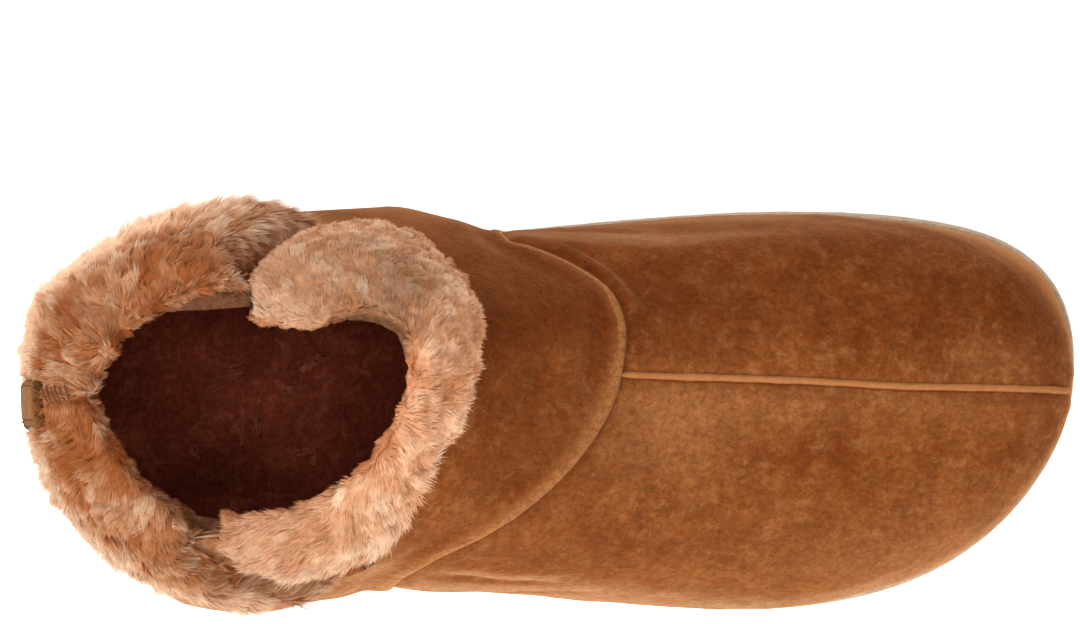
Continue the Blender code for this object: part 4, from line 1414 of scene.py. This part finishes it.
@lru_cache(maxsize=None)
def tab_grid():
    """The back flap's surface round the tab, with its normals and its two directions."""
    full = rounded(flap_corners(CUFF_BACK, np.linspace(*NEAR_TAB, NEAR_TAB_PLACES)), NEAR_TAB_STEPS)
    return full, *grid_normals(full[..., :3])


def tab_centers(full, columns):
    """Where the tab's middle lies along the fine grid, for some of its steps."""
    return [np.interp(TAB_TURN, full[:, j, 3], np.arange(NEAR_TAB_PLACES)) for j in columns]


def make_tab():
    """The suede strip over the back flap's outside. Gives back its top and the directions it faces."""
    full, normals, *_ = tab_grid()
    columns = []
    rows = full[NEAR_TAB_PLACES // 2, :, 4]
    chosen = np.searchsorted(rows, np.linspace(TAB_LOW_ROW, TAB_TOP_ROW, TAB_ROWS))
    for j, center in zip(chosen, tab_centers(full, chosen)):
        reach = np.linalg.norm(np.gradient(full[:, j, :3], axis=0), axis=-1)[int(center)]
        columns.append(center + np.linspace(-0.5, 0.5, TAB_COLUMNS) * TAB_WIDTH / reach)
    columns = np.array(columns)
    j = np.repeat(chosen[:, None].astype(float), TAB_COLUMNS, axis=1)
    under = read_grid(full[..., :3], columns.ravel(), j.ravel())
    outward = unit(read_grid(normals, columns.ravel(), j.ravel()))
    across = np.abs(np.linspace(-1, 1, TAB_COLUMNS))[None, :] * np.ones((TAB_ROWS, 1))
    along = np.linspace(0, 1, TAB_ROWS)[:, None] * np.ones((1, TAB_COLUMNS))
    height = TAB_THICKNESS * (1 - 0.75 * ease(across, 0.8, 1.0)) - 0.35 * bump_at(across, 0.72, 0.07)
    height *= ease(along, -0.02, 0.03) * ease(1 - along, -0.03, 0.04)
    height += 0.15 * layered_noise(under, 4.0, 191, 2).reshape(height.shape)
    top = under + outward * (np.maximum(height, 0.05) - TAB_SINK).ravel()[:, None]
    bottom = under - outward * (TAB_SINK + 1.2)
    count = TAB_ROWS * TAB_COLUMNS
    grid = grid_faces(TAB_ROWS, TAB_COLUMNS, closed_columns=False)
    rim = np.concatenate([
        np.arange(TAB_COLUMNS),
        np.arange(1, TAB_ROWS) * TAB_COLUMNS + TAB_COLUMNS - 1,
        (TAB_ROWS - 1) * TAB_COLUMNS + np.arange(TAB_COLUMNS - 2, -1, -1),
        np.arange(TAB_ROWS - 2, 0, -1) * TAB_COLUMNS,
    ])
    following = np.roll(rim, -1)
    walls = np.stack([rim, following, following + count, rim + count], axis=-1)
    edge = ease(across, 0.78, 1.0).ravel()
    tints = np.zeros((2 * count, 3))
    tints[:count, 1] = 0.45 + 0.5 * edge
    tints[count:, 1] = 0.8
    points = np.concatenate([top, bottom])
    faces = [grid, grid[:, ::-1] + count, walls[:, ::-1]]
    piece = make_piece("heel_tab_strip", points, faces, TAB_SUEDE, tints)
    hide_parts("heel_tab")
    return top.reshape(TAB_ROWS, TAB_COLUMNS, 3), outward.reshape(TAB_ROWS, TAB_COLUMNS, 3)


def thread_points(start, end, lift, radius, sides, steps):
    """Points of a short thread that arches from start to end."""
    start, end, lift = (np.asarray(v, float) for v in (start, end, lift))
    t = np.linspace(0, 1, steps)
    spine = start + (end - start) * t[:, None] + lift * np.sin(math.pi * t)[:, None]
    tangent = unit(np.gradient(spine, axis=0))
    side = unit(np.cross(tangent, lift + 1e-6))
    up = np.cross(side, tangent)
    angle = np.linspace(0, 2 * math.pi, sides, endpoint=False)
    taper = (0.55 + 0.45 * np.sin(math.pi * t))[:, None, None] * radius
    ring = side[:, None] * np.cos(angle)[None, :, None] + up[:, None] * np.sin(angle)[None, :, None]
    return (spine[:, None] + ring * taper).reshape(-1, 3)


def make_threads(name, threads, material, tint, sides=6, steps=5):
    """Many short threads joined in one piece."""
    points = np.concatenate([thread_points(*thread, sides, steps) for thread in threads])
    quads, *ends = (part[:, ::-1] for part in tube_faces(steps, sides))
    starts = np.arange(len(threads))[:, None, None] * sides * steps
    faces = [(quads + starts).reshape(-1, 4), (np.concatenate(ends) + starts).reshape(-1, sides)]
    tints = np.tile(np.asarray(tint, float), (len(points), 1))
    make_piece(name, points, faces, material, tints)


def make_tab_stitches(top, outward):
    """Running stitches along the strip's edges and the fan of stitches over its upper end."""
    threads = []
    for column in (2, TAB_COLUMNS - 3):
        for row in range(2, TAB_ROWS - 3, 3):
            start, end = top[row, column], top[row + 2, column]
            start = start + (end - start) * 0.12
            threads.append((start, start + (end - start) * 0.75, outward[row, column] * 0.28, 0.22))
    full, normals, along, down = tab_grid()
    rows = np.arange(full.shape[1])
    centers = np.array(tab_centers(full, rows))
    crest = read_grid(full[..., :3], centers, rows.astype(float))
    crest = crest[: np.argmax(crest[:, 0] > STITCH_END_X) + 1]
    for n in range(SEAM_STITCHES):
        x = STITCH_START_X + (STITCH_END_X - STITCH_START_X) * n / (SEAM_STITCHES - 1)
        j = int(np.argmin(np.abs(crest[:, 0] - x)))
        up, sideways, inward = (grid[int(centers[j]), j] for grid in (normals, along, -down))
        place = crest[j] + up * STITCH_RISE + sideways * STITCH_OFFSET
        lean = inward * 0.9
        reach = sideways * (2.1 + 0.35 * math.sin(2.6 * n))
        lean_past = lean * (1 + 0.3 * math.cos(1.9 * n))
        threads.append((place - reach - lean, place + reach + lean_past, up * 0.7, 0.36))
    last = TAB_ROWS - 1
    inward = unit(top[last] - top[last - 3])[TAB_COLUMNS // 2]
    sideways = unit(top[last, -1] - top[last, 0])
    up = outward[last, TAB_COLUMNS // 2]
    for column in (3, TAB_COLUMNS // 2, TAB_COLUMNS - 4):
        place = top[last, column] + up * 0.2
        start = place - inward * 0.8 - sideways * 0.5
        threads.append((start, place + inward * 0.9 + sideways * 0.5, up * 0.9, 0.38))
    make_threads("heel_tab_stitches", threads, FUR, (0.135, 0.046, 0.021))


# ---------------------------------------------------------------- the insole's wisps

# Paler wisps of curled wool on the insole: the x, y places that each runs through.
WISPS = (
    ((5.0, 4.8), (9.1, 8.4), (12.3, 9.8), (16.8, 11.2)),
    ((9.6, 13.4), (11.6, 12.2), (14.6, 13.0)),
    ((29.8, 10.4), (33.5, 14.3), (37.2, 15.3), (39.2, 15.5)),
    ((24.6, 9.6), (27.6, 6.2), (30.6, 8.2)),
    ((14.8, 3.0), (15.8, -1.6), (14.6, -7.8)),
    ((19.6, 0.4), (18.8, -3.0), (19.4, -6.4)),
    ((37.0, 8.2), (38.6, 10.2), (41.0, 9.4)),
    ((40.6, -1.8), (42.8, -3.4), (42.0, -6.4)),
    ((29.4, -9.4), (33.8, -9.4), (34.8, -13.2)),
    ((-8.0, 4.8), (-9.6, 1.8)),
    ((1.0, -8.6), (3.6, -12.0)),
)
WISP_STEP = 0.8
WISP_RISE = 0.35
WISP_HAIRS = 4
WISP_REACH = 4
WISP_SPREAD = (0.7, 0.7, 0.3)
WISP_BEND = 0.5
WISP_RADIUS = 0.2
WISP_TINT = (0.50, 0.125, 0.076)
WISP_SEED = 83


def make_wisps():
    """Wisps of wool on the insole, as short arching hairs along their lines."""
    rng = np.random.default_rng(WISP_SEED)
    threads = []
    for places in WISPS:
        line = even_line(np.column_stack([places, np.zeros(len(places))]), WISP_STEP)
        line[:, 2] = sole_top(line[:, 0]) + INSOLE_RISE + WISP_RISE
        for first, last in zip(line[:-WISP_REACH], line[WISP_REACH:]):
            for spread in rng.normal(0, WISP_SPREAD, (WISP_HAIRS, 3)):
                bend = rng.normal(0, WISP_BEND, 3) * (1, 1, 0.4)
                threads.append((first + spread, last + spread * 0.6, bend, WISP_RADIUS))
    make_threads("insole_wisps", threads, FLEECE, WISP_TINT, sides=3, steps=4)


# ---------------------------------------------------------------- the sole

# The band across the sole's side: how far inside the outline, and the share of the way up.
BAND_PROFILE = (
    (3.2, 0.03), (1.5, 0.06), (0.75, 0.15), (0.3, 0.27), (0.05, 0.42), (-0.1, 0.6), (0.02, 0.74), (0.3, 0.87),
    (0.62, 0.95), (1.1, 1.01), (1.8, 1.01), (3.4, 1.01),
)


def make_sole_band():
    """The smooth rubber edge of the sole, a skin over the CAD outsole's side."""
    outline = ring_line(SOLE_RING)[::2]
    tangent = unit(np.roll(outline, -1, axis=0) - np.roll(outline, 1, axis=0))
    outward = np.column_stack([tangent[:, 1], -tangent[:, 0]])
    outward *= np.sign(np.sum(outward * (outline - outline.mean(axis=0)), axis=1).mean())
    bottom = smooth_curve(SOLE_X, SOLE_BOTTOM_Z, outline[:, 0])
    top = sole_top(outline[:, 0])
    rows = []
    for inset, share in BAND_PROFILE:
        flat = outline - outward * inset
        rows.append(np.column_stack([flat, bottom + (top - bottom) * share]))
    grid = np.array(rows)
    ripple = 0.10 * layered_noise(grid, 3.0, 301, 3)
    grid[1:-1, :, :2] += outward * ripple[1:-1, :, None]
    faces = grid_faces(len(BAND_PROFILE), len(outline), closed_rows=True)
    make_piece("sole_band", grid.reshape(-1, 3), [faces], RUBBER)


def dress_outsole():
    """The rubber of the CAD outsole, which keeps its shape."""
    for slot in bpy.data.objects["outsole"].material_slots:
        slot.material = RUBBER


# ---------------------------------------------------------------- floor, light and camera

# Half the floor's side in metres, and its own light, which keeps it pale under the studio's.
FLOOR_REACH = 6.0
FLOOR_GLOW = 0.45


def make_floor():
    """A plain pale floor under the shoe."""
    mesh = bpy.data.meshes.new("floor")
    signs = ((-1, -1), (1, -1), (1, 1), (-1, 1))
    mesh.from_pydata([(FLOOR_REACH * x, FLOOR_REACH * y, 0) for x, y in signs], [], [(0, 1, 2, 3)])
    writer = Writer("pale_floor", 0.8, specular=0.2)
    writer.feed({"Emission Color": (1, 1, 1), "Emission Strength": FLOOR_GLOW})
    color = writer.mix(writer.noise(60.0, 2.0), (0.88, 0.88, 0.88), (0.91, 0.91, 0.91))
    mesh.materials.append(writer.finish(color))
    floor = bpy.data.objects.new("floor", mesh)
    bpy.context.scene.collection.objects.link(floor)


def make_light(name, place, target, size, power, color):
    """A square area light that faces a target, in metres and watts."""
    data = bpy.data.lights.new(name, "AREA")
    data.shape = "SQUARE"
    data.size = size
    data.energy = power
    data.color = color
    light = bpy.data.objects.new(name, data)
    light.location = place
    light.rotation_euler = (Vector(target) - Vector(place)).to_track_quat("-Z", "Y").to_euler()
    bpy.context.scene.collection.objects.link(light)


# The lights: name, place and target in metres, size in metres, power in watts, and colour.
LIGHTS = (
    ("key", (-0.30, -1.05, 1.10), (0.09, 0.0, 0.05), 1.0, 26.0, (1.0, 0.98, 0.95)),
    ("top", (0.10, -0.10, 2.20), (0.09, 0.0, 0.05), 1.4, 14.0, (1, 1, 1)),
    ("fill", (-0.55, 0.85, 0.80), (0.02, 0.03, 0.09), 0.8, 9.0, (1, 1, 1)),
)
SURROUND_STRENGTH = 0.64
CAMERA_PLACE = (0.094, 0.027, 1.3)
CAMERA_LENS = 161.2
CAMERA_SENSOR = 36.0


def make_studio():
    """Soft light from the lateral side, a bright surround and the view from straight above."""
    world = bpy.data.worlds.new("studio")
    world.use_nodes = True
    surround = world.node_tree.nodes["Background"]
    surround.inputs["Color"].default_value = (1, 1, 1, 1)
    surround.inputs["Strength"].default_value = SURROUND_STRENGTH
    scene = bpy.context.scene
    scene.world = world
    for light in LIGHTS:
        make_light(*light)
    data = bpy.data.cameras.new("camera")
    data.lens = CAMERA_LENS
    data.sensor_width = CAMERA_SENSOR
    camera = bpy.data.objects.new("camera", data)
    camera.location = CAMERA_PLACE
    scene.collection.objects.link(camera)
    scene.camera = camera
    scene.view_settings.view_transform = "Standard"


make_studio()
make_floor()
dress_outsole()
make_sole_band()
make_skin()
make_seams()
make_lining()
make_insole()
make_wisps()
make_cuffs()
make_tab_stitches(*make_tab())
